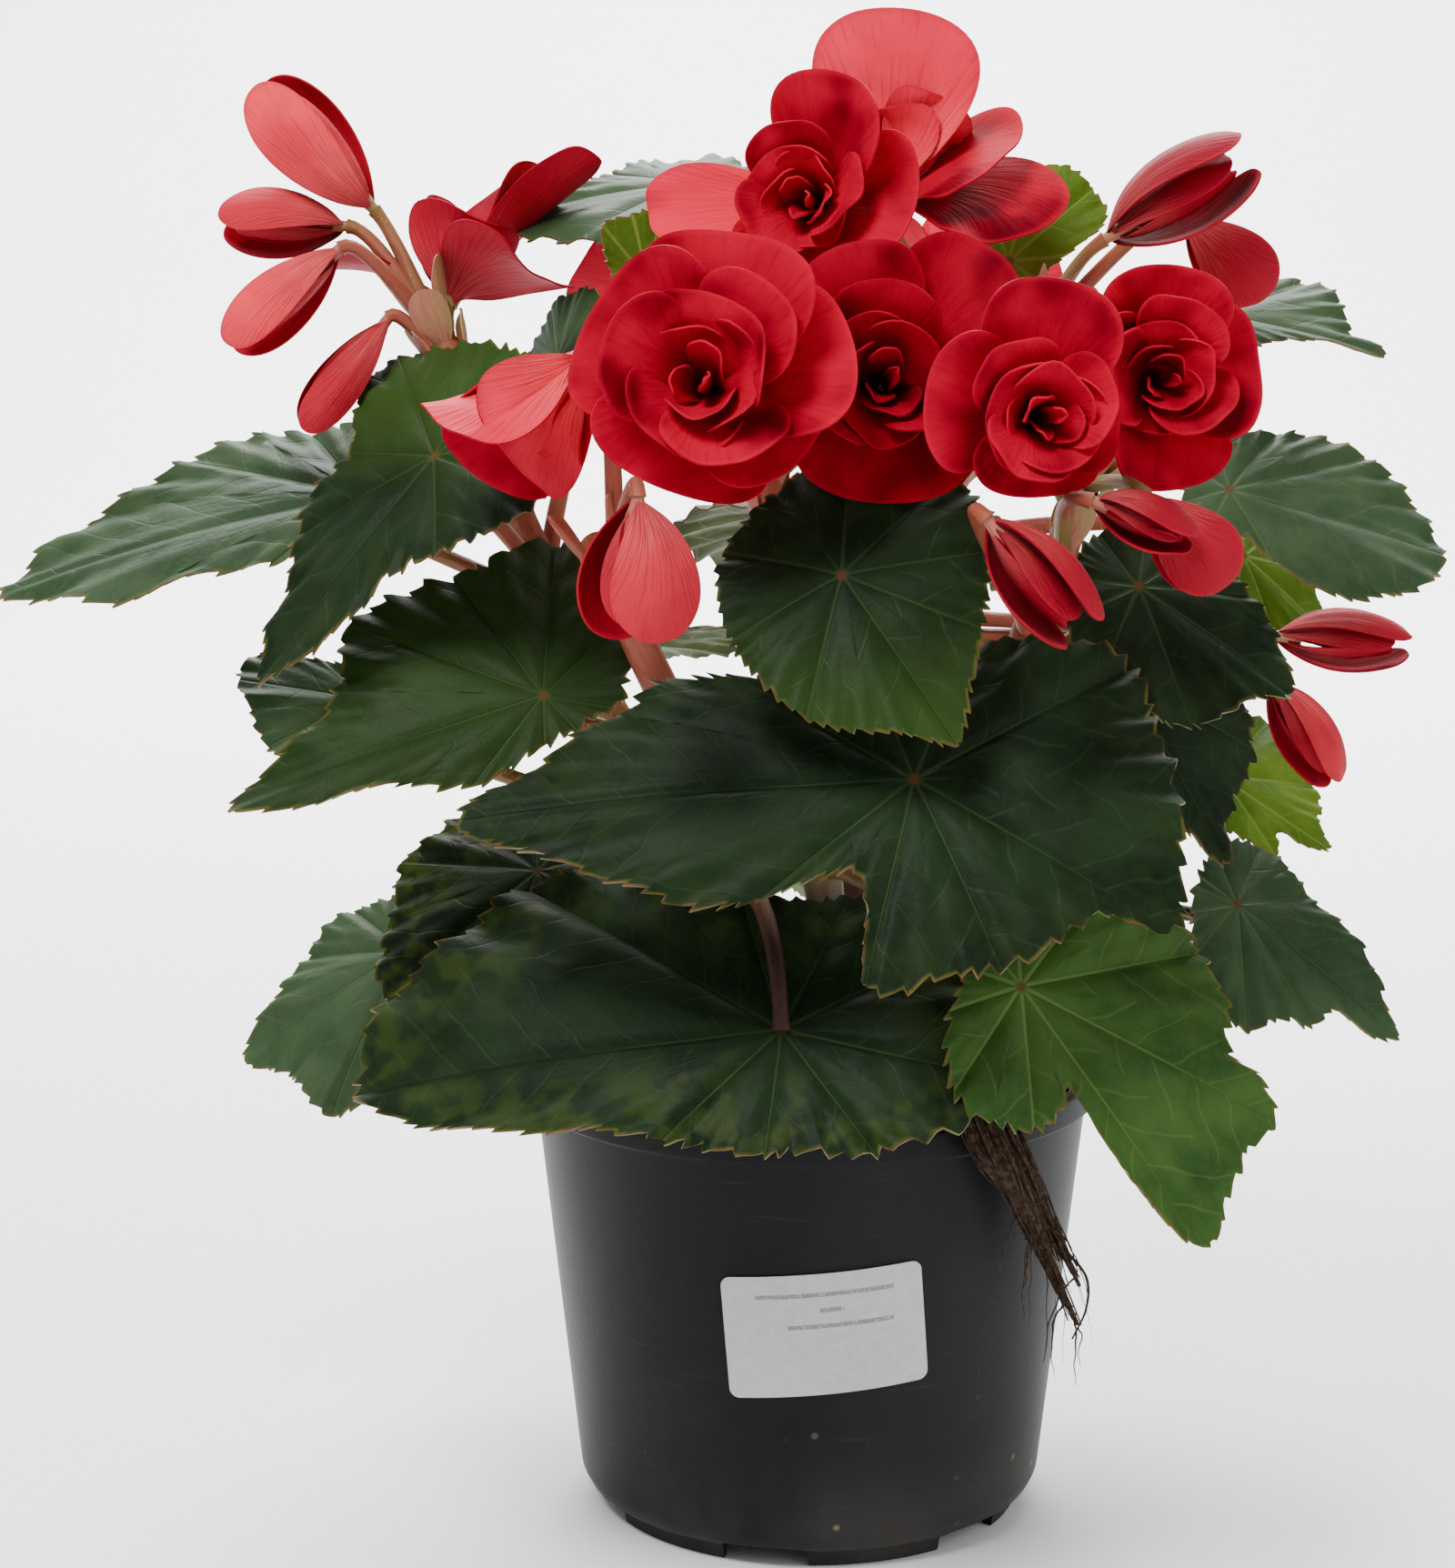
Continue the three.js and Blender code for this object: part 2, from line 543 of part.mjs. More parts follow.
    outline: [
      [-180, 0.15], [-150, 0.16], [-124, 0.2], [-100, 0.27], [-80, 0.36], [-62, 0.44],
      [-46, 0.45], [-32, 0.46], [-20, 0.42], [-11, 0.36], [-8, 0.62], [-4, 0.88], [0, 1.0],
      [9, 0.96], [20, 0.92], [29, 0.96], [36, 0.86], [38, 0.72], [46, 0.71], [60, 0.67],
      [80, 0.6], [96, 0.48], [112, 0.35], [130, 0.18], [180, 0.15],
    ],
  },
  {
    name: "leaf_front_low", stem: "stem_front", from: 0.5, tone: "dark",
    via: [-9, -80, 156],
    knot: [-8, -84, 130], tip: [-98, -66, 113], face: [0, -0.72, 0.7], bend: 14, curl: [16, 6],
    outline: [
      [-180, 0.46], [-160, 0.44], [-138, 0.42], [-116, 0.38], [-104, 0.35], [-93, 0.34],
      [-82, 0.38], [-66, 0.46], [-52, 0.6], [-40, 0.75], [-24, 0.82], [-11, 0.96], [0, 1.0],
      [6, 0.88], [12, 0.73], [18, 0.6], [26, 0.46], [38, 0.37], [54, 0.32], [76, 0.3],
      [98, 0.29], [116, 0.34], [134, 0.39], [150, 0.47], [164, 0.48], [180, 0.46],
    ],
  },
  {
    name: "leaf_left_low", stem: "stem_front", from: 0.34, tone: "dark",
    knot: [-60, -34, 153], tip: [-92, -44, 127], face: [-0.5, -0.65, 0.55], bend: 12, curl: [12, 10],
    outline: [
      [-180, 0.36], [-138, 0.48], [-106, 0.66], [-84, 0.8], [-72, 0.75], [-56, 0.85],
      [-40, 0.83], [-20, 0.88], [0, 1.0], [16, 0.88], [42, 0.7], [70, 0.56], [108, 0.43],
      [180, 0.36],
    ],
  },
  {
    name: "leaf_left_pale", stem: "stem_left", from: 0.22, tone: "mid",
    knot: [-91, -12, 130], tip: [-127, -18, 108], face: [-0.3, -0.6, 0.75], bend: 14, curl: [12, 10],
    outline: [
      [-180, 0.3], [-150, 0.34], [-114, 0.41], [-84, 0.48], [-64, 0.55], [-38, 0.6], [-14, 0.74],
      [0, 1.0], [12, 0.92], [22, 0.88], [32, 0.94], [42, 1.0], [54, 0.88], [70, 0.68],
      [98, 0.54], [146, 0.34], [180, 0.3],
    ],
  },
  {
    name: "leaf_back_left_low", stem: "stem_left", from: 0.26, tone: "mid",
    knot: [-48, 56, 130], tip: [-90, 90, 98], face: [-0.4, 0.5, 0.75], bend: 18, curl: [12, 12],
    outline: lopsidedHeart,
  },
  {
    name: "leaf_back_low", stem: "stem_back", from: 0.22, tone: "dark",
    knot: [6, 74, 150], tip: [2, 128, 116], face: [0.05, 0.65, 0.75], bend: 18, curl: [12, 12],
    outline: lobedHeart,
  },
  {
    name: "leaf_back_right_low", stem: "stem_back", from: 0.3, tone: "mid",
    knot: [56, 54, 134], tip: [88, 98, 104], face: [0.45, 0.5, 0.7], bend: 18, curl: [12, 12],
    outline: lopsidedHeart,
  },
  {
    name: "leaf_back_left_high", stem: "stem_left", from: 0.52, tone: "dark",
    knot: [-48, 46, 192], tip: [-92, 88, 164], face: [-0.4, 0.45, 0.8], bend: 20, curl: [12, 12],
    outline: lobedHeart,
  },
  {
    name: "leaf_back_middle", stem: "stem_back", from: 0.5, tone: "dark",
    knot: [10, 70, 222], tip: [22, 122, 196], face: [0.05, 0.6, 0.8], bend: 20, curl: [12, 12],
    outline: lopsidedHeart,
  },
  {
    name: "leaf_back_right_high", stem: "stem_back", from: 0.42, tone: "dark",
    knot: [78, 56, 205], tip: [114, 94, 181], face: [0.45, 0.45, 0.8], bend: 20, curl: [12, 12],
    outline: lobedHeart,
  },
];

/** A leaf's own axes: x along the midrib, y to the left of it, z out of the upper face. */
function leafFrame(leaf) {
  const chord = vector(leaf.tip).sub(vector(leaf.knot));
  const bend = radians(leaf.bend);
  const along = chord.clone().normalize();
  const out = vector(leaf.face).addScaledVector(along, -along.dot(vector(leaf.face))).normalize();
  const left = out.clone().cross(along);
  // The blade droops as an arc, so it sets out half the bend above the straight line to its tip.
  along.applyAxisAngle(left, -bend / 2);
  out.applyAxisAngle(left, -bend / 2);
  const length = (chord.length() * (bend / 2)) / Math.sin(bend / 2);
  return { knot: vector(leaf.knot), along, left, out, length };
}

/** Bends the pair (run, rise) downwards by a turn in radians over a span of run. */
function bentDown(run, rise, turn, span) {
  const rate = turn / span;
  const angle = rate * run;
  return [
    Math.sin(angle) / rate + rise * Math.sin(angle),
    (Math.cos(angle) - 1) / rate + rise * Math.cos(angle),
  ];
}

/** A point of the blade's middle surface, at an angle from the tip and a share of the way out. */
function leafPoint(leaf, frame, degrees, share) {
  const reach = frame.length * share;
  const angle = radians(degrees);
  const ruffle = RUFFLE * reach * share * Math.sin(RUFFLE_WAVES * angle + leaf.knot[0]);
  const curl = radians(degrees > 0 ? leaf.curl[0] : leaf.curl[1]);
  const [side, lift] = bentDown(reach * Math.sin(angle), ruffle, curl, CURL_SPAN * frame.length);
  const [along, rise] = bentDown(reach * Math.cos(angle), lift, radians(leaf.bend), frame.length);
  return frame.knot
    .clone()
    .addScaledVector(frame.along, along)
    .addScaledVector(frame.left, side)
    .addScaledVector(frame.out, rise);
}

/** A toothed blade: its margin, a ring half-way in on all but the small ones, and the knot. */
function makeLeaf(leaf, grow = 0) {
  const frame = leafFrame(leaf);
  const swell = grow / frame.length;
  const tooth = TOOTH_DEPTH / frame.length;
  const corners = leaf.outline.slice(0, -1);
  const margin = [];
  const ring = [];
  corners.forEach(([degrees, share], i) => {
    const middle = (degrees + leaf.outline[i + 1][0]) / 2;
    const between = smoothThrough(leaf.outline, middle);
    margin.push(leafPoint(leaf, frame, degrees, share + swell));
    margin.push(leafPoint(leaf, frame, middle, Math.max(between - tooth, 0.06) + swell));
    ring.push(leafPoint(leaf, frame, degrees, 0.5 * share));
  });
  const thickness = LEAF_THICKNESS + 2 * grow;
  const [count, inner] = [corners.length, 1 + margin.length];
  const rim = margin.map((_, i) => 1 + i);
  if (frame.length < SMALL_LEAF) {
    const fan = rim.map((corner, i) => [0, corner, rim[(i + 1) % rim.length]]);
    return blade([frame.knot, ...margin], fan, rim, thickness);
  }
  const triangles = [];
  for (let i = 0; i < count; i++) {
    const next = (i + 1) % count;
    const [near, far] = [inner + i, inner + next];
    const [first, notch, last] = [1 + 2 * i, 2 + 2 * i, 1 + 2 * next];
    triangles.push([0, near, far], [near, first, notch], [near, notch, far], [far, notch, last]);
  }
  return blade([frame.knot, ...margin, ...ring], triangles, rim, thickness);
}

/** The petiole runs from its stem and meets the blade square on, just below the knot. */
function petioleCurve(leaf) {
  const frame = leafFrame(leaf);
  const root = stemCurve(leaf.stem).getPointAt(leaf.from);
  if (leaf.via) return new THREE.QuadraticBezierCurve3(root, vector(leaf.via), frame.knot);
  const end = frame.knot.clone().addScaledVector(frame.out, -(LEAF_THICKNESS / 2 + 2 * GAP));
  const reach = end.distanceTo(root);
  const start = root.clone().lerp(end, 0.3).add(new THREE.Vector3(0, 0, 0.16 * reach));
  const arrive = end.clone().addScaledVector(frame.out, -0.25 * reach);
  return new THREE.CubicBezierCurve3(root, start, arrive, end);
}

// ---------------------------------------------------------------- blooms

// A bloom faces along its axis, and azimuths count round that axis: 0 to the right, 90 up. Guards
// are the broad outer petals, as [azimuth, length, width, lean of the tip from the axis], with a fifth
// number where the petal cups less or more than its lean gives, and a sixth where its swirl differs.
const roundGuards = [
  [20, 1, 1.5, 100], [110, 1.08, 1.5, 96], [200, 1, 1.5, 100], [290, 1.02, 1.5, 104],
];

const blooms = [
  {
    name: "bloom_large", stem: "stem_centre", from: 0.9, centre: [-23, -94, 263],
    facing: [-0.05, -0.92, 0.3], radius: 29, open: 1, turn: 20,
    guards: [
      [10, 1.06, 1.5, 92], [78, 1.08, 1.7, 86], [150, 0.96, 1.7, 92], [250, 0.8, 1.7, 100],
      [318, 0.86, 1.3, 94],
    ],
  },
  {
    name: "bloom_middle", stem: "stem_centre", from: 0.88, centre: [12, -76, 262],
    facing: [0.05, -0.85, 0.3], radius: 26, open: 0.9, turn: 60,
    guards: [[46, 1.4, 1.4, 84], [104, 1.15, 1.3, 86], [190, 0.9, 1.3, 96], [266, 0.98, 1.9, 100]],
  },
  {
    name: "bloom_right_front", stem: "stem_right", from: 0.95, centre: [41, -94, 256],
    facing: [0.12, -0.92, 0.15], radius: 22, open: 0.85, turn: 100,
    guards: [[0, 0.82, 1.6, 84], [82, 1.3, 1.7, 78], [174, 1.06, 1.7, 90], [270, 0.76, 1.6, 96]],
  },
  {
    name: "bloom_right", stem: "stem_right", from: 0.98, centre: [68, -71, 262],
    facing: [0.2, -0.95, 0.15], radius: 22, open: 0.85, turn: 40,
    guards: [[0, 1.02, 1.75, 84], [88, 1.08, 1.6, 80], [176, 0.8, 1.4, 80], [276, 1.1, 1.7, 96]],
  },
  {
    name: "bloom_top", stem: "stem_centre", from: 0.98, centre: [-3, -50, 297],
    facing: [-0.3, -0.9, 0.25], radius: 22, open: 0.8, turn: 80,
    guards: [[354, 1.2, 1.9, 84], [72, 1.3, 1.7, 76], [184, 1.66, 1, 108], [264, 0.72, 1.7, 96]],
  },
  {
    name: "bloom_top_back", stem: "stem_back", from: 0.94, centre: [17, -4, 306],
    facing: [0.12, 0.3, 0.9], radius: 26, open: 0.8, turn: 10,
    guards: [[88, 1.58, 2.2, 26, 1.8], [166, 1.1, 1.3, 100, 1.4, -1.1], [176, 1.36, 1.2, 138, 1.4, -1.1]],
  },
  {
    name: "bloom_left_opening", stem: "stem_front", from: 0.95, centre: [-55, -75, 256],
    facing: [-0.62, -0.3, -0.72], radius: 27, open: 0.5, turn: 30,
    guards: [[6, 1.08, 1.5, 24, 1.3], [84, 1.3, 1.3, 38], [190, 1.2, 1.5, 30]],
  },
  {
    name: "bloom_left_back", stem: "stem_left", from: 0.97, centre: [-80, 12, 284],
    facing: [0.1, 0.33, 0.94], radius: 26, open: 0.55, turn: 70,
    guards: [[22, 1.35, 1.5, 116], [150, 1.2, 1.6, 116], [192, 1.8, 1, 52], [236, 1.5, 1.5, 34]],
  },
  {
    name: "bloom_back_left", stem: "stem_left", from: 0.8, centre: [-34, 56, 276],
    facing: [-0.35, 0.85, 0.4], radius: 25, open: 0.95, turn: 50, guards: roundGuards,
  },
  {
    name: "bloom_back_right", stem: "stem_back", from: 0.97, centre: [38, 56, 278],
    facing: [0.4, 0.8, 0.45], radius: 24, open: 0.9, turn: 15, guards: roundGuards,
  },
];

/** Axes with the first along a direction, the second across to the right and the third upwards. */
function axesAlong(direction) {
  const axis = direction.clone().normalize();
  const flat = Math.abs(axis.z) > 0.97 ? new THREE.Vector3(0, 1, 0) : new THREE.Vector3(0, 0, 1);
  const across = flat.cross(axis).normalize();
  return { axis, across, over: axis.clone().cross(across) };
}

/**
 * A petal's middle surface. Seen from the side it is an arc that sets out at the first lean from
 * the axis and ends at the last. Its outline is a disc drawn in towards the base, its sides cup
 * round the axis, and the swirl puts one side over the next petal and the other under the last.
 */
function petalSurface(base, axes, petal) {
  const round = radians(petal.azimuth);
  const outward = axes.across
    .clone()
    .multiplyScalar(Math.cos(round))
    .addScaledVector(axes.over, Math.sin(round));
  const sideways = axes.axis.clone().cross(outward);
  const [lean, turn] = [radians(petal.lean[0]), radians(petal.lean[1] - petal.lean[0])];
  const rate = turn / petal.length;
  return (u, v) => {
    const [a, b] = [2 * u - 1, 2 * v - 1];
    const along = (1 + a * Math.sqrt(1 - (b * b) / 2)) / 2;
    const across = b * Math.sqrt(1 - (a * a) / 2);
    const half = (petal.width / 2) * across * (0.12 + 0.88 * Math.pow(along, 0.6));
    const angle = lean + turn * along;
    const outRun = (Math.cos(lean) - Math.cos(angle)) / rate + petal.offset;
    const upRun = (Math.sin(angle) - Math.sin(lean)) / rate + petal.height;
    const wrap = half / petal.cup;
    const inward = petal.cup * (1 - Math.cos(wrap)) - petal.swirl * half;
    return base
      .clone()
      .addScaledVector(outward, outRun - inward * Math.cos(angle))
      .addScaledVector(axes.axis, upRun + inward * Math.sin(angle))
      .addScaledVector(sideways, petal.cup * Math.sin(wrap));
  };
}

/** The broad guards of a double bloom, and a ring of three inside them once it has opened. */
function bloomPetals({ radius, open, turn, guards }) {
  const outer = guards.map(([azimuth, length, width, lean, cup = 0.45 + 0.008 * lean, swirl = SWIRL]) => ({
    azimuth,
    length: radius * length,
    width: radius * width,
    lean: [0.5 * lean, lean],
    cup: radius * cup,
    offset: GUARD_OFFSET,
    height: 0,
    swirl,
  }));
  const middle = RING.azimuths.map((azimuth) => ({
    azimuth: turn + azimuth,
    length: radius * RING.length,
    width: radius * RING.width,
    lean: RING.lean.map((angle) => angle * open),
    cup: radius,
    offset: RING.offset,
    height: RING.height,
    swirl: SWIRL,
  }));
  return open < 0.6 ? outer : [...outer, ...middle];
}

/** The rolled innermost petals, as one scalloped sheet wound up round the axis. */
function heartSurface(base, axes, { radius, open, turn }) {
  return (u, v) => {
    const angle = radians(turn + HEART.turn * u);
    const scallop = 0.05 * Math.cos(2.5 * angle);
    const reach = THREE.MathUtils.lerp(
      THREE.MathUtils.lerp(...HEART.foot, u),
      THREE.MathUtils.lerp(...HEART.lip, u),
      v,
    );
    const height = THREE.MathUtils.lerp(
      HEART.floor,
      THREE.MathUtils.lerp(...HEART.height, u) + scallop,
      v,
    );
    return base
      .clone()
      .addScaledVector(axes.across, radius * reach * Math.cos(angle))
      .addScaledVector(axes.over, radius * reach * Math.sin(angle))
      .addScaledVector(axes.axis, radius * height);
  };
}

/** Where the stalk meets a bloom, behind its centre. */
function bloomBase(bloom) {
  const depth = -BLOOM_DEPTH * bloom.radius;
  return vector(bloom.centre).addScaledVector(vector(bloom.facing).normalize(), depth);
}

/** The green base that the petals grow from: a short cone that widens along the axis. */
function receptacle(base, axes, foot, top, length) {
  const cone = new THREE.CylinderGeometry(top, foot, length + 1, 4, 1);
  const turn = new THREE.Quaternion().setFromUnitVectors(new THREE.Vector3(0, 1, 0), axes.axis);
  cone.applyQuaternion(turn);
  cone.translate(...base.clone().addScaledVector(axes.axis, (length - 1) / 2));
  return solidOf(cone);
}

function makeBloom(bloom, grow = 0) {
  const axes = axesAlong(vector(bloom.facing));
  const base = bloomBase(bloom);
  const thickness = PETAL_THICKNESS + 2 * grow;
  const petals = bloomPetals(bloom).map((petal) =>
    gridBlade(petalSurface(base, axes, petal), 2, 2, thickness),
  );
  const heart = gridBlade(heartSurface(base, axes, bloom), 7, 1, thickness);
  const size = bloom.radius;
  const core = receptacle(base, axes, 0.09 * size + grow, 0.18 * size + grow, 0.24 * size);
  return wasm.Manifold.union([...petals, heart, core]);
}

// ---------------------------------------------------------------- buds

// A bud is two domed valves shut like a clam. "Faces" is the way one valve looks.
const buds = [
  {
    name: "bud_left_tall", stem: "stem_left", from: 1, base: [-97, 3, 294], tip: [-122, 3, 321],
    faces: [-0.1, -1, -0.25], width: 19,
  },
  {
    name: "bud_left_side", stem: "stem_left", from: 1, base: [-103, 2, 290], tip: [-131, 4, 291],
    faces: [0, -0.8, 0.6], width: 14,
  },
  {
    name: "bud_left_front", stem: "stem_left", from: 1, base: [-103, -12, 285], tip: [-127, -14, 264],
    faces: [-0.3, -1, 0.1], width: 14,
  },
  {
    name: "bud_left_low", stem: "stem_left", from: 0.94, base: [-93, -8, 270], tip: [-112, -10, 246],
    faces: [0.2, -1, 0], width: 12,
  },
  {
    name: "bud_front", stem: "stem_front", from: 1, base: [-36, -110, 240], tip: [-36, -112, 212],
    faces: [0.55, -0.83, 0], width: 25,
  },
  {
    name: "bud_right_front", stem: "stem_right", from: 0.8, base: [31, -106, 235.5], tip: [50, -108, 213.5],
    faces: [0.75, -0.3, 0.6], width: 16,
  },
  {
    name: "bud_right_side", stem: "stem_right", from: 0.9, base: [52, -98, 238.5], tip: [72, -98, 231],
    faces: [0.4, -0.4, 0.8], width: 13,
  },
  {
    name: "bud_right_round", stem: "stem_right", from: 1, base: [64, -86, 238], tip: [80, -86, 221],
    faces: [0.1, -1, 0], width: 20,
  },
  {
    name: "bud_far_right", stem: "stem_back", from: 0.62, base: [102, -10, 201], tip: [132, -11, 199],
    faces: [0, -0.35, 1], width: 13,
  },
  {
    name: "bud_far_right_low", stem: "stem_back", from: 0.6, base: [102, -5, 190], tip: [117, -6, 167],
    faces: [0.6, -0.7, 0.3], width: 12,
  },
  {
    name: "bud_high_right", stem: "stem_back", from: 1, base: [61, -30, 288], tip: [91, -32, 306],
    faces: [-0.45, -0.35, 0.8], width: 17,
  },
  {
    name: "bud_high_far", stem: "stem_back", from: 1, base: [80, -12, 291], tip: [98, -13, 275],
    faces: [0.1, -1, 0], width: 19,
  },
  {
    name: "bud_back", stem: "stem_back", from: 0.9, base: [2, 54, 262], tip: [2, 70, 244],
    faces: [0, 1, 0.6], width: 16,
  },
];

function makeBud(bud, grow = 0) {
  const direction = vector(bud.tip).sub(vector(bud.base));
  const length = direction.length();
  const axes = axesAlong(direction);
  const faces = vector(bud.faces);
  const first = THREE.MathUtils.radToDeg(Math.atan2(faces.dot(axes.over), faces.dot(axes.across)));
  const valves = [0, 180].map((half) =>
    gridBlade(
      petalSurface(vector(bud.base), axes, {
        azimuth: first + half,
        length: VALVE.length * length,
        width: VALVE.width * bud.width,
        lean: VALVE.lean,
        cup: VALVE.cup * bud.width,
        offset: VALVE.offset,
        height: 0,
        swirl: 0,
      }),
      2,
      2,
      PETAL_THICKNESS + 2 * grow,
    ),
  );
  const core = receptacle(vector(bud.base), axes, 1.2 + grow, 0.12 * bud.width + grow, 0.2 * length);
  return wasm.Manifold.union([...valves, core]);
}

/** A flower stalk from its stem to a gap below the base of a bloom or bud. */
function flowerStalk(item, base, axis) {
  const root = stemCurve(item.stem).getPointAt(Math.min(item.from, 0.99));
  const end = base.clone().addScaledVector(axis, -1 - GAP);
  const reach = end.distanceTo(root);
  const start = root.clone().lerp(end, 0.3);
  const arrive = end.clone().addScaledVector(axis, -0.2 * reach);
  return new THREE.CubicBezierCurve3(root, start, arrive, end);
}

// ---------------------------------------------------------------- building the plant

/** A main stem with every stalk that grows from it. */
function stemSolid(name, grow = 0) {
  const own = (list) => list.filter((one) => one.stem === name);
  const petioles = own(leaves).map((leaf) =>
    stalk(petioleCurve(leaf), PETIOLE_RADII, STALK_SIDES, 3, grow),
  );
  const stalks = own(blooms).map((bloom) => {
    const axis = vector(bloom.facing).normalize();
    const curve = flowerStalk(bloom, bloomBase(bloom), axis);
    return stalk(curve, BLOOM_STALK_RADII, STALK_SIDES, 3, grow);
  });
  const threads = own(buds).map((bud) => {
    const axis = vector(bud.tip).sub(vector(bud.base)).normalize();
    const curve = flowerStalk(bud, vector(bud.base), axis);
    return stalk(curve, BUD_STALK_RADII, STALK_SIDES, 2, grow);
  });
  const main = stalk(stemCurve(name), stems[name].radii, STEM_SIDES, STEM_STEPS, grow);
  return wasm.Manifold.union([main, ...petioles, ...stalks, ...threads]);
}

/** A stem, trimmed clear of any blade whose stalk comes down on it from above. */
function makeStem(name, grow = 0) {
  const reached = leaves.filter((leaf) => leaf.stem === name && leaf.via);
  const blades = reached.map((leaf) => makeLeaf(leaf, GAP));
  const solid = stemSolid(name, grow);
  return blades.length ? largestBody(solid.subtract(wasm.Manifold.union(blades))) : solid;
}

const plant = new THREE.Group();
const placed = [];

/** Adds a node, cut a gap clear of each node that stands there already. */
function place(name, material, make) {
  let solid = make(0);
  for (const other of placed) {
    const shared = solid.intersect(other.keepOut).volume();
    if (shared > TOUCH) solid = solid.subtract(other.keepOut);
  }
  placed.push({ name, keepOut: make(GAP) });
  const mesh = new THREE.Mesh(geometryOf(largestBody(solid.simplify(FLAT))), material.clone());
  mesh.name = name;
  plant.add(mesh);
}

place("pot", materials.potPlastic, () => makePot());
place("label", materials.label, () => makeLabel());
place("dead_roots", materials.deadRoot, (grow) => makeDeadRoots(grow));
for (const name of Object.keys(stems)) place(name, materials.stem, (grow) => makeStem(name, grow));
place("soil", materials.soil, () => makeSoil());
for (const bloom of blooms) place(bloom.name, materials.petal, (grow) => makeBloom(bloom, grow));
for (const bud of buds) place(bud.name, materials.petal, (grow) => makeBud(bud, grow));
for (const leaf of leaves) place(leaf.name, materials[leaf.tone], (grow) => makeLeaf(leaf, grow));

export default plant;
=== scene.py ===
"""A begonia in its nursery pot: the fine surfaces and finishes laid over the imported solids.

The makers below work in millimetres, and each mesh is scaled to metres when it is finished. The pot
stands on Z = 0 about the Z axis, +Z is up, and -Y is the side that the camera looks at. A length in
a piece's maps is in units of 100 mm, and the side veins of a leaf leave its main veins 9.5 mm apart.
"""

import logging
import math
import random
from collections.abc import Callable, Sequence
from dataclasses import dataclass, field
from enum import Enum

import bmesh
import bpy
from mathutils import Matrix, Quaternion, Vector, noise


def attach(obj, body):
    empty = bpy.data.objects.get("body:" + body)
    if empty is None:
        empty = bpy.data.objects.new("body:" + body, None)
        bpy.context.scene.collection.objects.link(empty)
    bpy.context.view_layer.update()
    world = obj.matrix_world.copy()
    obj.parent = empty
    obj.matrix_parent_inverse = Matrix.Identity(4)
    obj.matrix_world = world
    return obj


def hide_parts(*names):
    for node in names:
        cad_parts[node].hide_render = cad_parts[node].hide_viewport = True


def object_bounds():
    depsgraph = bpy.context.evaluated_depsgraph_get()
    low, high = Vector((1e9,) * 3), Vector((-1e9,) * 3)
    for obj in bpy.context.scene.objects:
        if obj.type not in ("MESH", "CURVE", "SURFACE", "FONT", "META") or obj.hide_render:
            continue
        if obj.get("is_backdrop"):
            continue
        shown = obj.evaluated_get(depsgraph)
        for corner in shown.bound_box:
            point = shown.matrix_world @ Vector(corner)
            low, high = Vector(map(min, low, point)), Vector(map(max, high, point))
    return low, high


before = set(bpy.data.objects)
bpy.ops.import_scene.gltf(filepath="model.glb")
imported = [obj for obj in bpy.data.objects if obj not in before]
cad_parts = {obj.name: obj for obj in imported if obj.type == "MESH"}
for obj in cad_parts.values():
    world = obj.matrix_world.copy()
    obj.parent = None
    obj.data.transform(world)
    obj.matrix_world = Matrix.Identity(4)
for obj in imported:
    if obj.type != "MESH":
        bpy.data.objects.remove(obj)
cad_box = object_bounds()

log = logging.getLogger("begonia")

MM = 0.001
UP = Vector((0, 0, 1))
MAP_UNIT = 100
VEIN_STEP = 9.5
PETAL_CELLS = (18, 12)
SOLID_SLOT = 3

Triple = tuple[float, float, float]
Pair = tuple[float, float]
Object = bpy.types.Object
Material = bpy.types.Material
Socket = bpy.types.NodeSocket
Level = Socket | float
Colour = Socket | Triple
BMesh = bmesh.types.BMesh


# ---- numbers and curves


def mix(low: float, high: float, share: float) -> float:
    """Returns the value that lies a share of the way from low to high."""
    return low + (high - low) * share


def ease(low: float, high: float, value: float) -> float:
    """Returns a smooth rise from 0 at low to 1 at high."""
    share = min(1.0, max(0.0, (value - low) / (high - low)))
    return share * share * (3 - 2 * share)


def smooth_through(points: Sequence[Pair], place: float) -> float:
    """Reads a smooth curve that runs through given points.

    Args:
        points: (place, value) pairs in rising order of place.
        place: where to read the curve.

    Returns:
        The value there.
    """
    last = len(points) - 1
    i = 0
    while i < last - 1 and place > points[i + 1][0]:
        i += 1

    def slope(j: int) -> float:
        """Returns the slope at a point, from its two neighbours."""
        before, after = points[max(0, j - 1)], points[min(last, j + 1)]
        return (after[1] - before[1]) / (after[0] - before[0])

    (x0, y0), (x1, y1) = points[i], points[i + 1]
    span = x1 - x0
    t = (place - x0) / span
    t2, t3 = t * t, t * t * t
    rise = (t3 - 2 * t2 + t) * span * slope(i) + (t3 - t2) * span * slope(i + 1)
    return (2 * t3 - 3 * t2 + 1) * y0 + (3 * t2 - 2 * t3) * y1 + rise


def bent_down(run: float, rise: float, turn: float, span: float) -> Pair:
    """Bends a point of a profile downwards.

    Args:
        run: the distance along the profile.
        rise: the height above it.
        turn: the angle in radians that the profile bends by over the span.
        span: the length of run that takes the whole turn.

    Returns:
        The bent run and rise.
    """
    rate = turn / span
    angle = rate * run
    return (
        math.sin(angle) / rate + rise * math.sin(angle),
        (math.cos(angle) - 1) / rate + rise * math.cos(angle),
    )


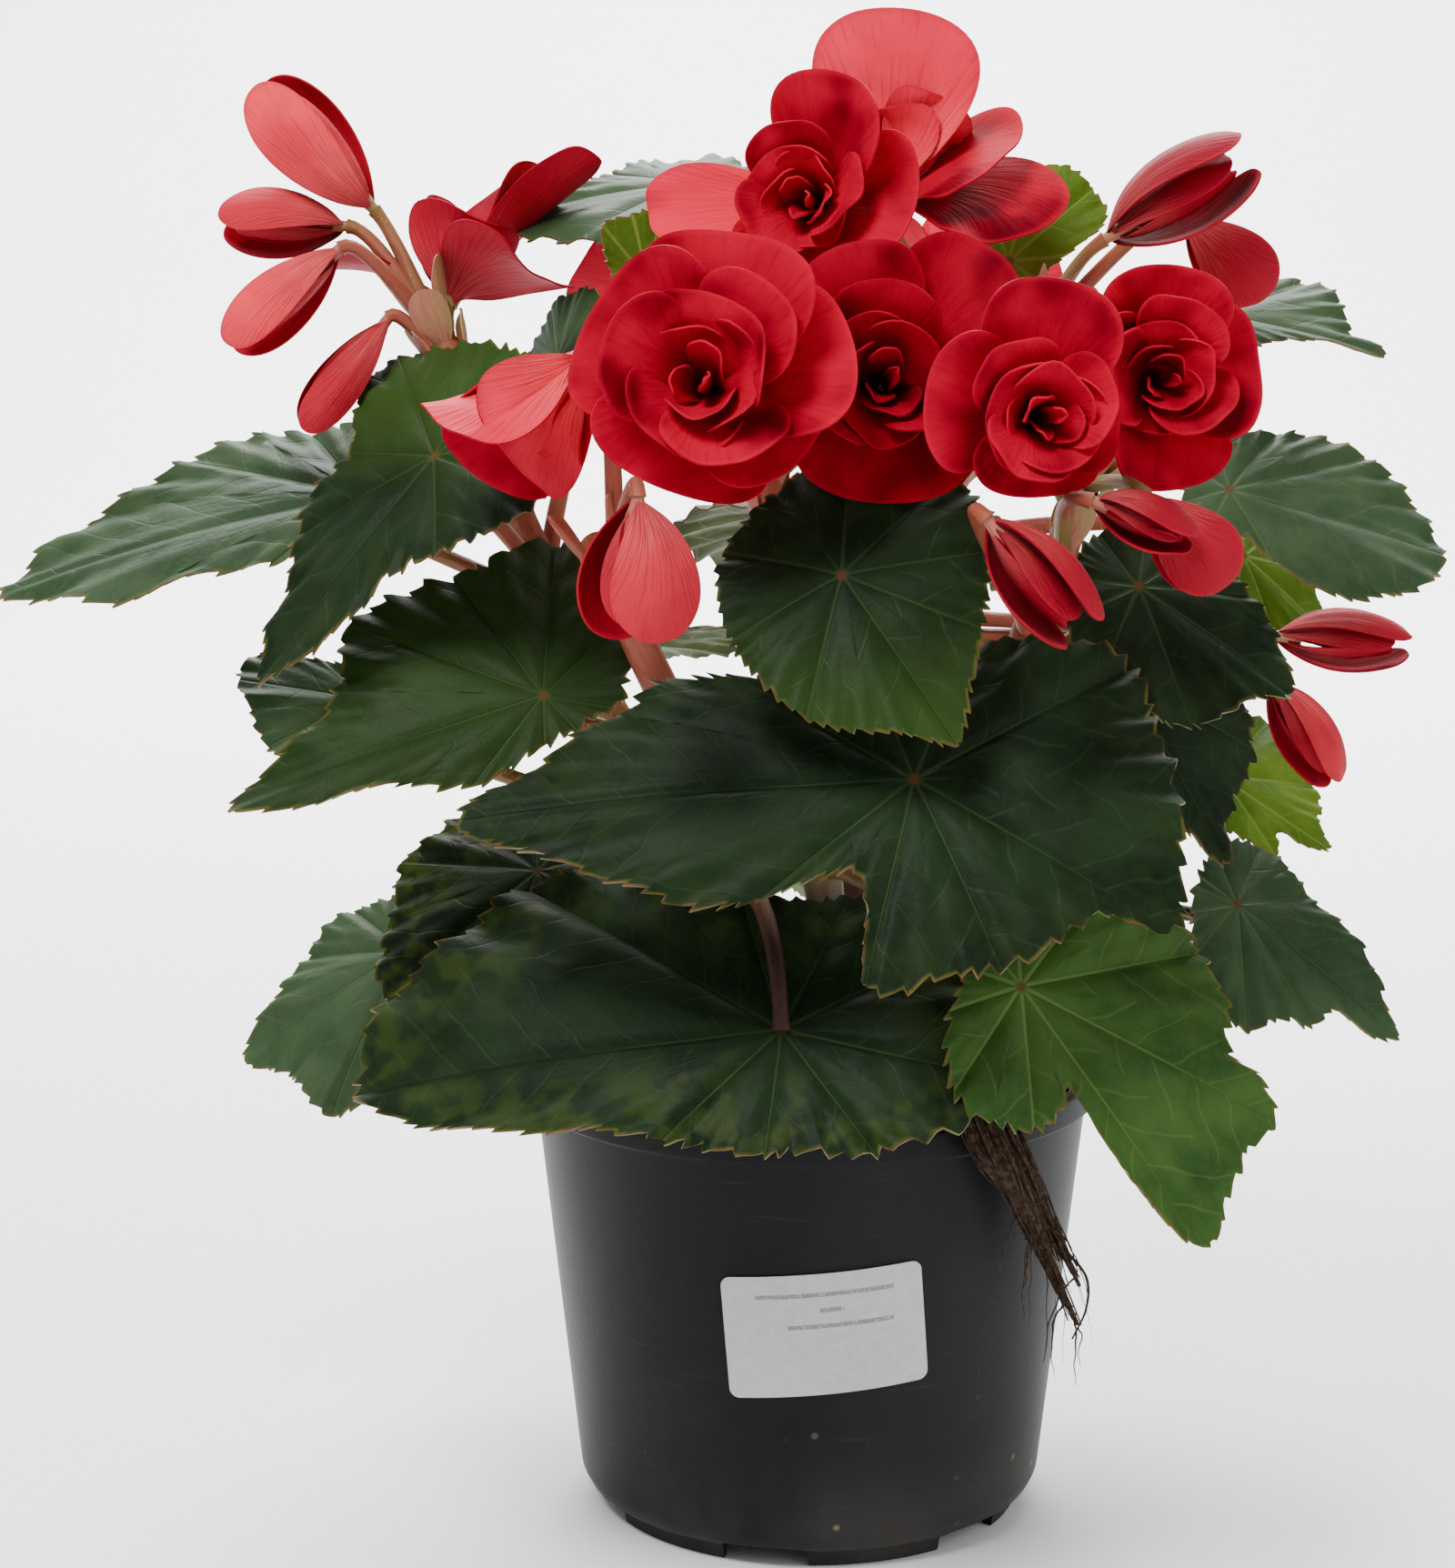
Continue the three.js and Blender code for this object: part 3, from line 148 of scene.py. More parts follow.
class Path:
    """A smooth path that is read by its share of the whole length."""

    SPLINE_STEPS = 24
    BEZIER_STEPS = 32
    AHEAD = 0.02

    def __init__(self, points: Sequence[Vector]) -> None:
        """Keeps the points and how far along the path each one lies."""
        self.points = list(points)
        self.lengths = [0.0]
        for one, other in zip(self.points, self.points[1:]):
            self.lengths.append(self.lengths[-1] + (other - one).length)

    @classmethod
    def through(cls, corners: Sequence[Triple]) -> "Path":
        """Makes a rounded path through given corners.

        Args:
            corners: the points in millimetres.

        Returns:
            The path, as a centripetal spline.
        """
        knots = [Vector(corner) for corner in corners]
        knots.insert(0, 2 * knots[0] - knots[1])
        knots.append(2 * knots[-1] - knots[-2])
        points = [knots[1]]
        for p0, p1, p2, p3 in zip(knots, knots[1:], knots[2:], knots[3:]):
            d0, d1, d2 = ((b - a).length ** 0.5 for a, b in ((p0, p1), (p1, p2), (p2, p3)))
            leave = ((p1 - p0) / d0 - (p2 - p0) / (d0 + d1) + (p2 - p1) / d1) * d1
            arrive = ((p2 - p1) / d1 - (p3 - p1) / (d1 + d2) + (p3 - p2) / d2) * d1
            for step in range(1, cls.SPLINE_STEPS + 1):
                t = step / cls.SPLINE_STEPS
                t2, t3 = t * t, t * t * t
                points.append(
                    p1 * (2 * t3 - 3 * t2 + 1)
                    + leave * (t3 - 2 * t2 + t)
                    + p2 * (3 * t2 - 2 * t3)
                    + arrive * (t3 - t2)
                )
        return cls(points)

    @classmethod
    def bezier(cls, *corners: Vector) -> "Path":
        """Makes a path from the three or four corners of a Bezier curve."""
        points = []
        for step in range(cls.BEZIER_STEPS + 1):
            row = list(corners)
            while len(row) > 1:
                row = [a.lerp(b, step / cls.BEZIER_STEPS) for a, b in zip(row, row[1:])]
            points.append(row[0])
        return cls(points)

    @property
    def length(self) -> float:
        """The length of the path in millimetres."""
        return self.lengths[-1]

    def at(self, share: float) -> Vector:
        """Returns the point a share of the way along."""
        target = min(1.0, max(0.0, share)) * self.length
        i = 0
        while i < len(self.points) - 2 and self.lengths[i + 1] < target:
            i += 1
        span = self.lengths[i + 1] - self.lengths[i]
        return self.points[i].lerp(self.points[i + 1], (target - self.lengths[i]) / span)

    def heading(self, share: float) -> Vector:
        """Returns the direction of the path a share of the way along."""
        return (self.at(share + self.AHEAD) - self.at(share - self.AHEAD)).normalized()

    def frames(self, shares: Sequence[float]) -> list[tuple[Vector, Vector, Vector]]:
        """Carries a pair of cross directions along the path without twisting them.

        Args:
            shares: the places that are wanted, in rising order.

        Returns:
            The point and the two cross directions at each place.
        """
        made = []
        side = None
        for share in shares:
            ahead = self.heading(share)
            if side is None:
                side = ahead.orthogonal()
            side = (side - ahead * side.dot(ahead)).normalized()
            made.append((self.at(share), side, ahead.cross(side)))
        return made


# ---- sheets, tubes and finished pieces


@dataclass
class Spot:
    """Where one point of a sheet goes, and what its maps say there."""

    place: Vector
    maps: dict[str, Pair]


def lay_sheet(
    bm: BMesh, columns: int, rows: int, spot: Callable[[int, int], Spot], slot: int = 0
) -> None:
    """Lays a grid sheet into a mesh, and closes it where its edges meet.

    Args:
        bm: the mesh that takes the sheet.
        columns: faces across.
        rows: faces along.
        spot: gives the point of a column and row, counted from 0.
        slot: the material slot of the faces.
    """
    verts = bmesh.ops.create_grid(bm, x_segments=columns, y_segments=rows, size=0.5)["verts"]
    spots = {}
    for vert in verts:
        column, row = round((vert.co.x + 0.5) * columns), round((vert.co.y + 0.5) * rows)
        spots[vert] = spot(column, row)
    layers = {name: bm.loops.layers.uv.get(name) for name in spots[verts[0]].maps}
    for name, layer in layers.items():
        layers[name] = layer or bm.loops.layers.uv.new(name)
    for face in {face for vert in verts for face in vert.link_faces}:
        face.smooth = True
        face.material_index = slot
        for loop in face.loops:
            for name, layer in layers.items():
                loop[layer].uv = spots[loop.vert].maps[name]
    for vert, made in spots.items():
        vert.co = made.place
    bmesh.ops.remove_doubles(bm, verts=verts, dist=1e-4)


def lay_tube(
    bm: BMesh,
    path: Path,
    radius: Callable[[float], float],
    sides: int,
    steps: int,
    slot: int = 0,
) -> None:
    """Lays a round tube with closed ends along a path.

    Args:
        bm: the mesh that takes the tube.
        path: the middle of the tube.
        radius: gives the tube's radius at a share of the way along.
        sides: faces round the tube.
        steps: faces along the tube.
        slot: the material slot of the faces.
    """
    shares = [0.0] + [step / steps for step in range(steps + 1)] + [1.0]
    frames = path.frames(shares)
    bottom, top = 0, len(shares) - 1

    def spot(column: int, row: int) -> Spot:
        """Returns a point on the tube's wall, or on its axis at either end."""
        turn = math.tau * (column % sides) / sides
        centre, side, over = frames[row]
        size = 0.0 if row in (bottom, top) else radius(shares[row])
        out = side * math.cos(turn) + over * math.sin(turn)
        maps = {"Run": (column / sides, shares[row] * path.length / MAP_UNIT)}
        return Spot(centre + out * size, maps)

    lay_sheet(bm, sides, top, spot, slot)


def to_mesh(bm: BMesh, name: str, scale: float = MM) -> bpy.types.Mesh:
    """Turns sheets or solids into a mesh in metres, and frees them."""
    bmesh.ops.scale(bm, vec=Vector((scale, scale, scale)), verts=bm.verts)
    mesh = bpy.data.meshes.new(name)
    bm.to_mesh(mesh)
    bm.free()
    return mesh


def linked(name: str, data: bpy.types.ID) -> Object:
    """Makes an object of some data and links it into the scene."""
    made = bpy.data.objects.new(name, data)
    bpy.context.scene.collection.objects.link(made)
    return made


@dataclass
class Piece:
    """One finished piece of the plant, or of what holds it."""

    name: str
    node: str
    slot: str
    skins: list[Material]
    thickness: float = 0.0
    sharp: float = 50.0
    cutter: Object | None = None

    def finish(self, bm: BMesh, solid: BMesh | None = None) -> Object:
        """Turns meshes in millimetres into the finished object, and frees them.

        Args:
            bm: sheets that are given the piece's thickness, or closed solids if it has none.
            solid: closed solids that are added once the sheets have their thickness.

        Returns:
            The object, at the origin and riding on the part.
        """
        mesh = to_mesh(bm, self.name)
        for skin in self.skins:
            mesh.materials.append(skin)
        piece = linked(self.name, mesh)
        if self.thickness:
            self.thicken(piece)
        if self.cutter:
            self.cut(piece)
        if solid:
            self.add(piece, solid)
        piece.data.set_sharp_from_angle(angle=math.radians(self.sharp))
        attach(piece, "root")
        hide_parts(self.node)
        log.info("%s: %d faces", self.name, len(piece.data.polygons))
        return piece

    def thicken(self, piece: Object) -> None:
        """Gives a sheet its thickness, with the second skin behind and the third on the edge."""
        wall = piece.modifiers.new("Thickness", "SOLIDIFY")
        wall.thickness = self.thickness * MM
        wall.offset = 0
        wall.material_offset = 1
        wall.material_offset_rim = 2
        self.settle(piece)

    def cut(self, piece: Object) -> None:
        """Cuts the cutter out of the piece, and takes the cutter away."""
        hollow = piece.modifiers.new("Cut", "BOOLEAN")
        hollow.operation = "DIFFERENCE"
        hollow.solver = "EXACT"
        hollow.object = self.cutter
        self.settle(piece)
        bpy.data.objects.remove(self.cutter)

    def settle(self, piece: Object) -> None:
        """Applies the piece's modifiers."""
        shown = piece.evaluated_get(bpy.context.evaluated_depsgraph_get())
        mesh = bpy.data.meshes.new_from_object(shown)
        piece.modifiers.clear()
        piece.data = mesh
        mesh.name = self.name

    def add(self, piece: Object, solid: BMesh) -> None:
        """Adds closed solids to a piece."""
        extra = to_mesh(solid, self.name)
        whole = bmesh.new()
        whole.from_mesh(piece.data)
        whole.from_mesh(extra)
        whole.to_mesh(piece.data)
        whole.free()
        bpy.data.meshes.remove(extra)


# ---- finishes


class Wiring:
    """Wires the nodes of one material."""

    def __init__(self, name: str, roughness: float, **fixed: float | Triple) -> None:
        """Starts a material.

        Args:
            name: the material's name.
            roughness: the shader's roughness where nothing else is wired to it.
            **fixed: further values of the shader's own sockets, with _ for a blank.
        """
        self.material = bpy.data.materials.new(name)
        self.material.use_nodes = True
        self.nodes = self.material.node_tree.nodes
        self.links = self.material.node_tree.links
        self.shader = self.nodes["Principled BSDF"]
        self.shader.inputs["Roughness"].default_value = roughness
        for key, value in fixed.items():
            self.put(self.shader.inputs[key.replace("_", " ")], value)

    def put(self, socket: Socket, value: Level | Triple) -> None:
        """Links a socket to another, or gives it a fixed value."""
        if isinstance(value, bpy.types.NodeSocket):
            self.links.new(value, socket)
        elif isinstance(value, tuple) and socket.type == "RGBA":
            socket.default_value = (*value, 1)
        else:
            socket.default_value = value

    def maths(self, kind: str, *values: Level) -> Socket:
        """Returns the result of a Math node."""
        node = self.nodes.new("ShaderNodeMath")
        node.operation = kind
        for socket, value in zip(node.inputs, values):
            self.put(socket, value)
        return node.outputs[0]

    def times(self, one: Level, other: Level) -> Socket:
        """Returns the product of two values."""
        return self.maths("MULTIPLY", one, other)

    def add_product(self, one: Level, other: Level, base: Level) -> Socket:
        """Returns the product of two values, added to a base."""
        return self.maths("MULTIPLY_ADD", one, other, base)

    def fade(self, value: Socket, low: float, high: float) -> Socket:
        """Fades smoothly from 0 to 1 as a value goes from low to high.

        Args:
            value: what is read.
            low: where the result is 0.
            high: where it is 1, which may be less than low.

        Returns:
            The result's socket.
        """
        node = self.nodes.new("ShaderNodeMapRange")
        node.interpolation_type = "SMOOTHSTEP"
        self.put(node.inputs["Value"], value)
        ends = sorted([(low, 0.0), (high, 1.0)])
        for side, (place, result) in zip(("Min", "Max"), ends):
            node.inputs["From " + side].default_value = place
            node.inputs["To " + side].default_value = result
        return node.outputs[0]

    def blend(self, share: Level, first: Colour, second: Colour) -> Socket:
        """Returns a mix of two colours."""
        node = self.nodes.new("ShaderNodeMix")
        node.data_type = "RGBA"
        for index, value in ((0, share), (6, first), (7, second)):
            self.put(node.inputs[index], value)
        return node.outputs[2]

    def tint(self, colour: Socket, mask: Socket, share: float, other: Colour) -> Socket:
        """Returns the colour turned to another by a share, where a mask says."""
        return self.blend(self.times(mask, share), colour, other)

    def split(self, map_name: str) -> tuple[Socket, Socket]:
        """Returns the two numbers that a piece's map holds."""
        source = self.nodes.new("ShaderNodeUVMap")
        source.uv_map = map_name
        parts = self.nodes.new("ShaderNodeSeparateXYZ")
        self.links.new(source.outputs[0], parts.inputs[0])
        return parts.outputs[0], parts.outputs[1]

    def place(self, stretch: Triple = (1, 1, 1)) -> Socket:
        """Returns the point in the piece's own axes, stretched."""
        source = self.nodes.new("ShaderNodeTexCoord")
        mapping = self.nodes.new("ShaderNodeMapping")
        mapping.inputs["Scale"].default_value = stretch
        self.links.new(source.outputs["Object"], mapping.inputs[0])
        return mapping.outputs[0]

    def height(self) -> Socket:
        """Returns the height above the surface that the pot stands on, in metres."""
        parts = self.nodes.new("ShaderNodeSeparateXYZ")
        self.links.new(self.place(), parts.inputs[0])
        return parts.outputs[2]

    def joined(self, x: Level, y: Level, z: Level = 0.0) -> Socket:
        """Returns a point made from three numbers."""
        node = self.nodes.new("ShaderNodeCombineXYZ")
        for socket, value in zip(node.inputs, (x, y, z)):
            self.put(socket, value)
        return node.outputs[0]

    def grain(self, point: Socket, scale: float, detail: float = 2.0, rough: float = 0.5) -> Socket:
        """Adds a noise texture.

        Args:
            point: where it is read.
            scale: waves per unit.
            detail: how many finer layers it has.
            rough: how strong they are.

        Returns:
            Its value, round 0.5.
        """
        node = self.nodes.new("ShaderNodeTexNoise")
        self.links.new(point, node.inputs["Vector"])
        node.inputs["Scale"].default_value = scale
        node.inputs["Detail"].default_value = detail
        node.inputs["Roughness"].default_value = rough
        return node.outputs[0]

    def clouds(self, scale: float, detail: float = 2.0) -> Socket:
        """Returns a noise value round 0.5 over the piece, with a scale in waves per metre."""
        return self.grain(self.place(), scale, detail)

    def cells(self, point: Socket, scale: float, edges: bool = False) -> Socket:
        """Returns how far a point is from the middle of its cell, or from the cell's edge."""
        node = self.nodes.new("ShaderNodeTexVoronoi")
        if edges:
            node.feature = "DISTANCE_TO_EDGE"
        self.links.new(point, node.inputs["Vector"])
        node.inputs["Scale"].default_value = scale
        return node.outputs[0]

    def finish(
        self, colour: Socket, height: Socket | None = None, depth: float = 0.3,
        roughness: Socket | None = None,
    ) -> Material:
        """Wires colour, relief and roughness to the shader.

        Args:
            colour: the base colour.
            height: the relief, from 0 to 1, or None for a smooth face.
            depth: how deep the relief is in millimetres.
            roughness: the roughness where it varies.

        Returns:
            The finished material.
        """
        self.put(self.shader.inputs["Base Color"], colour)
        if roughness is not None:
            self.put(self.shader.inputs["Roughness"], roughness)
        if height is not None:
            bump = self.nodes.new("ShaderNodeBump")
            bump.inputs["Strength"].default_value = 1.0
            bump.inputs["Distance"].default_value = depth * MM
            self.put(bump.inputs["Height"], height)
            self.links.new(bump.outputs[0], self.shader.inputs["Normal"])
        return self.material


class Tone(Enum):
    """The four greens that the leaves come in."""

    DARK = "leaf_dark"
    MID = "leaf_mid"
    BRIGHT = "leaf_bright"
    YOUNG = "leaf_young"


@dataclass(frozen=True)
class LeafFinish:
    """A begonia leaf: glossy and puckered above, paler and duller below, with a reddish rim."""

    name: str
    hollow: Triple
    swelling: Triple
    vein: Triple
    under: Triple
    roughness: float

    YELLOWED = (0.07, 0.1, 0.01)
    LIT = (0.027, 0.058, 0.01)
    KNOT = (0.08, 0.034, 0.012)
    PALE_RIM = (0.1, 0.14, 0.02)
    RED_RIM = (0.12, 0.03, 0.012)
    UNDER_VEIN = (0.3, 0.22, 0.09)

    def upper(self) -> Material:
        """Returns the finish of the upper face."""
        wiring = Wiring(self.name, self.roughness, Specular_IOR_Level=0.06)
        main, side, net, along, edge = self.veining(wiring)
        patches, painted_light = wiring.split("Mood")
        broad = wiring.clouds(55, 3)
        colour = wiring.blend(wiring.fade(broad, 0.35, 0.65), self.hollow, self.swelling)
        # painted light: the raised middles of the fine net cells are tinted towards the lighter swelling
        # green
        colour = wiring.tint(colour, net, 0.2, self.swelling)
        colour = wiring.tint(colour, side, 0.2, self.vein)
        near = wiring.times(wiring.fade(along, 70, 8), 0.6)
        colour = wiring.blend(wiring.times(main, near), colour, self.vein)
        spots = wiring.fade(wiring.clouds(130, 2), 0.42, 0.6)
        yellowed = wiring.times(spots, wiring.fade(edge, 26, 2))
        yellowed = wiring.times(yellowed, patches)
        colour = wiring.blend(yellowed, colour, self.YELLOWED)
        # painted light: the blade is tinted lighter from one given height to another, where light falls
        # on it
        colour = wiring.tint(colour, painted_light, 0.8, self.LIT)
        colour = self.rimmed(wiring, colour, edge)
        knot = wiring.times(wiring.fade(along, 1.7, 0.6), 0.8)
        colour = wiring.blend(knot, colour, self.KNOT)
        relief = self.relief(wiring, main, side, net)
        dull = wiring.add_product(broad, 0.2, self.roughness - 0.1)
        return wiring.finish(colour, relief, 0.25, dull)

    def below(self) -> Material:
        """Returns the finish of the under face."""
        wiring = Wiring(self.name + "_below", 0.62)
        main, side, net, _, edge = self.veining(wiring)
        broad = wiring.clouds(70, 3)
        deep = tuple(0.72 * part for part in self.under)
        colour = wiring.blend(wiring.fade(broad, 0.3, 0.7), deep, self.under)
        lines = wiring.times(wiring.maths("MAXIMUM", main, side), 0.4)
        colour = wiring.blend(lines, colour, self.UNDER_VEIN)
        colour = self.rimmed(wiring, colour, edge)
        relief = wiring.maths("SUBTRACT", 1.0, self.relief(wiring, main, side, net))
        return wiring.finish(colour, relief, 0.4)

    def veining(self, wiring: Wiring) -> tuple[Socket, Socket, Socket, Socket, Socket]:
        """Finds the veins from the leaf's maps.

        Args:
            wiring: the material that takes the nodes.

        Returns:
            Masks of the main veins, side veins and fine net, and the distances in millimetres from
            the knot and from the margin.
        """
        phase, gap = wiring.split("Vein")
        reach, rim = wiring.split("Reach")
        along = wiring.times(reach, MAP_UNIT)
        edge = wiring.times(rim, MAP_UNIT)
        turn = wiring.maths("SUBTRACT", wiring.maths("FRACT", wiring.maths("ADD", phase, 0.5)), 0.5)
        off = wiring.times(wiring.maths("ABSOLUTE", turn), wiring.times(gap, MAP_UNIT))
        main = wiring.fade(wiring.add_product(along, 0.005, off), 0.7, 0.2)
        stagger = wiring.times(wiring.maths("GREATER_THAN", turn, 0.0), 0.5)
        wander = wiring.times(wiring.clouds(90, 1), 0.7)
        step = wiring.maths("DIVIDE", wiring.maths("SUBTRACT", along, off), VEIN_STEP)
        step = wiring.maths("ADD", wiring.maths("ADD", step, stagger), wander)
        away = wiring.maths("ABSOLUTE", wiring.maths("SUBTRACT", wiring.maths("FRACT", step), 0.5))
        side = wiring.fade(away, 0.06, 0.01)
        side = wiring.times(side, wiring.fade(along, 5, 14))
        net = wiring.fade(wiring.cells(wiring.place(), 420, True), 0.0, 0.22)
        return main, side, net, along, edge

    def relief(self, wiring: Wiring, main: Socket, side: Socket, net: Socket) -> Socket:
        """Returns the height of the face, sunk along the veins."""
        height = wiring.add_product(main, -0.7, 0.8)
        height = wiring.add_product(side, -0.2, height)
        height = wiring.add_product(net, 0.08, height)
        return wiring.add_product(wiring.clouds(900, 1), 0.08, height)

    def rimmed(self, wiring: Wiring, colour: Socket, edge: Socket) -> Socket:
        """Returns the colour with a yellow-green rim that turns red-brown at its very edge."""
        wander = wiring.clouds(160, 2)
        pale = wiring.times(wiring.fade(edge, 1.0, 0.3), wiring.fade(wander, 0.4, 0.65))
        colour = wiring.tint(colour, pale, 0.4, self.PALE_RIM)
        red = wiring.times(wiring.fade(edge, 0.5, 0.12), wiring.fade(wander, 0.35, 0.55))
        return wiring.blend(wiring.times(red, 0.6), colour, self.RED_RIM)

    def skins(self) -> list[Material]:
        """Returns the upper, under and edge finishes."""
        below = self.below()
        return [self.upper(), below, below]


LEAF_FINISHES = {
    Tone.DARK: LeafFinish(
        "Leaf_dark", (0.0042, 0.0102, 0.0038), (0.0095, 0.021, 0.0072), (0.022, 0.046, 0.012),
        (0.1, 0.14, 0.03), 0.5,
    ),
    Tone.MID: LeafFinish(
        "Leaf_mid", (0.02, 0.041, 0.018), (0.036, 0.064, 0.029), (0.045, 0.085, 0.032),
        (0.11, 0.15, 0.034), 0.5,
    ),
    Tone.BRIGHT: LeafFinish(
        "Leaf_bright", (0.016, 0.044, 0.009), (0.036, 0.08, 0.015), (0.1, 0.16, 0.04),
        (0.12, 0.17, 0.034), 0.5,
    ),
    Tone.YOUNG: LeafFinish(
        "Leaf_young", (0.045, 0.1, 0.006), (0.09, 0.15, 0.013), (0.16, 0.23, 0.04),
        (0.13, 0.18, 0.03), 0.52,
    ),
}


@dataclass(frozen=True)
class PetalFinish:
    """A velvety begonia petal: red inside, and paler and streaked outside, with painted shade at the base
    of the inner face and over blooms that lie in shade.

    The pallor is how much of the back takes the outer colour where the petal has no blush.
    """

    name: str
    inner: Triple
    # the dark red of the mottle and streaks, also used for the painted shade at the petal's base and over
    # shaded blooms
    dark_red_and_shade: Triple
    rim: Triple
    outer: Triple
    streak: Triple
    pallor: float

    def fan(self, wiring: Wiring, fine: float) -> tuple[Socket, Socket, Socket]:
        """Finds streaks that fan out from the petal's base.

        Args:
            wiring: the material that takes the nodes.
            fine: how many streaks there are across the petal.

        Returns:
            The streaks, the place along the petal, and a mask of its rim.
        """
        along, across = wiring.split("Petal")
        spread = wiring.add_product(along, 0.8, 0.25)
        middle = wiring.maths("SUBTRACT", across, 0.5)
        fanned = wiring.maths("DIVIDE", middle, spread)
        streaks = wiring.grain(wiring.joined(wiring.times(fanned, fine), along), 2.5, 3)
        ahead = wiring.maths("SUBTRACT", along, 0.5)
        squares = wiring.add_product(ahead, ahead, wiring.times(middle, middle))
        rim = wiring.fade(wiring.maths("SQRT", squares), 0.455, 0.5)
        return streaks, along, wiring.times(rim, wiring.fade(along, 0.1, 0.4))

    def inside(self) -> Material:
        """Returns the finish of the face that looks to the bloom's heart."""
        wiring = Wiring(self.name, 0.6, Specular_IOR_Level=0.02)
        streaks, along, rim = self.fan(wiring, 9)
        age, blush = wiring.split("Mood")
        cloud = wiring.clouds(60, 2)
        colour = wiring.blend(wiring.fade(cloud, 0.25, 0.6), self.dark_red_and_shade, self.inner)
        lines = wiring.times(wiring.fade(streaks, 0.5, 0.72), 0.22)
        colour = wiring.blend(lines, colour, self.dark_red_and_shade)
        # painted shade: the inner face darkens towards its base, deep in the bloom where shade falls
        deep = wiring.times(wiring.fade(along, 0.48, 0.0), 0.65)
        colour = wiring.blend(deep, colour, self.dark_red_and_shade)
        colour = wiring.tint(colour, blush, 0.5, self.rim)
        colour = wiring.blend(wiring.fade(blush, 1.0, 2.0), colour, self.outer)
        colour = wiring.tint(colour, rim, 0.3, self.rim)
        # painted shade: the first Mood value darkens the inner face of a bloom that lies in shade
        colour = wiring.tint(colour, age, 0.7, self.dark_red_and_shade)
        pores = wiring.times(wiring.clouds(1500, 1), 0.2)
        return wiring.finish(colour, wiring.add_product(streaks, 0.8, pores), 0.25)

    def outside(self) -> Material:
        """Returns the finish of the back, which pales to white streaks at the base."""
        wiring = Wiring(self.name + "_back", 0.55, Specular_IOR_Level=0.05)
        streaks, along, rim = self.fan(wiring, 12)
        age, blush = wiring.split("Mood")
        cloud = wiring.fade(wiring.clouds(60, 2), 0.3, 0.7)
        pale = wiring.add_product(blush, 1.1, self.pallor)
        pale = wiring.times(pale, wiring.add_product(cloud, 0.5, 0.7))
        pale = wiring.maths("MAXIMUM", wiring.maths("MINIMUM", pale, 1.0), 0.0)
        colour = wiring.blend(pale, self.inner, self.outer)
        lines = wiring.times(wiring.fade(streaks, 0.45, 0.3), 0.4)
        colour = wiring.blend(lines, colour, self.inner)
        root = wiring.times(wiring.fade(along, 0.65, 0.05), wiring.fade(streaks, 0.42, 0.62))
        root = wiring.times(root, wiring.add_product(blush, 0.4, 0.55))
        colour = wiring.blend(root, colour, self.streak)
        colour = wiring.tint(colour, rim, 0.4, self.rim)
        # painted shade: the first Mood value darkens the back too, for a bloom that lies in shade
        colour = wiring.tint(colour, age, 0.8, self.dark_red_and_shade)
        return wiring.finish(colour, streaks, 0.4)

    def skins(self) -> list[Material]:
        """Returns the finishes of the inner face, the back and the edge."""
        inside = self.inside()
        return [inside, self.outside(), inside]


PETAL_FINISH = PetalFinish(
    "Petal", (0.365, 0.0001, 0.017), (0.08, 0.0001, 0.004), (0.55, 0.002, 0.03),
    (0.92, 0.034, 0.08), (0.85, 0.22, 0.2), 0.5,
)
BUD_FINISH = PetalFinish(
    "Bud", (0.22, 0.002, 0.012), (0.07, 0.0004, 0.003), (0.45, 0.012, 0.028),
    (0.75, 0.04, 0.06), (0.7, 0.16, 0.15), 0.05,
)


@dataclass(frozen=True)
class StemFinish:
    """A juicy stem: pink-orange, flecked and streaked, greener where young, and darkened low down by
    painted shade.
    """

    name: str
    ripe: Triple
    fleck: Triple
    young: Triple
    roughness: float
    shaded: Triple = (0.022, 0.006, 0.004)
    shade_line: Pair = (0.158, 0.146)

    def skin(self) -> Material:
        """Returns the finish."""
        wiring = Wiring(
            self.name, self.roughness, Specular_IOR_Level=0.3, Subsurface_Weight=0.12,
            Subsurface_Scale=0.004, Subsurface_Radius=(1.0, 0.4, 0.2),
        )
        around, along = wiring.split("Run")
        turn = wiring.times(around, math.tau)
        circle = wiring.maths("SINE", turn), wiring.maths("COSINE", turn)
        ring = wiring.joined(*circle, wiring.times(along, 7))
        streaks = wiring.grain(ring, 2.6, 3)
        broad = wiring.clouds(22, 2)
        colour = wiring.blend(wiring.fade(broad, 0.46, 0.62), self.ripe, self.young)
        colour = wiring.tint(colour, wiring.fade(streaks, 0.5, 0.7), 0.55, self.fleck)
        dots = wiring.fade(wiring.cells(wiring.place((1, 1, 0.5)), 520), 0.24, 0.12)
        colour = wiring.tint(colour, dots, 0.45, self.young)
        # painted shade: the stalks darken below a given height, where the leaves above shade them
        shade = wiring.fade(wiring.height(), *self.shade_line)
        colour = wiring.tint(colour, shade, 0.95, self.shaded)
        height = wiring.add_product(dots, 0.25, streaks)
        return wiring.finish(colour, height, 0.3)


STEM_FINISH = StemFinish("Stem", (0.24, 0.055, 0.028), (0.15, 0.022, 0.013), (0.17, 0.11, 0.03), 0.5)
BRACT_FINISH = StemFinish("Bract", (0.34, 0.11, 0.075), (0.28, 0.045, 0.035), (0.22, 0.2, 0.07), 0.55)


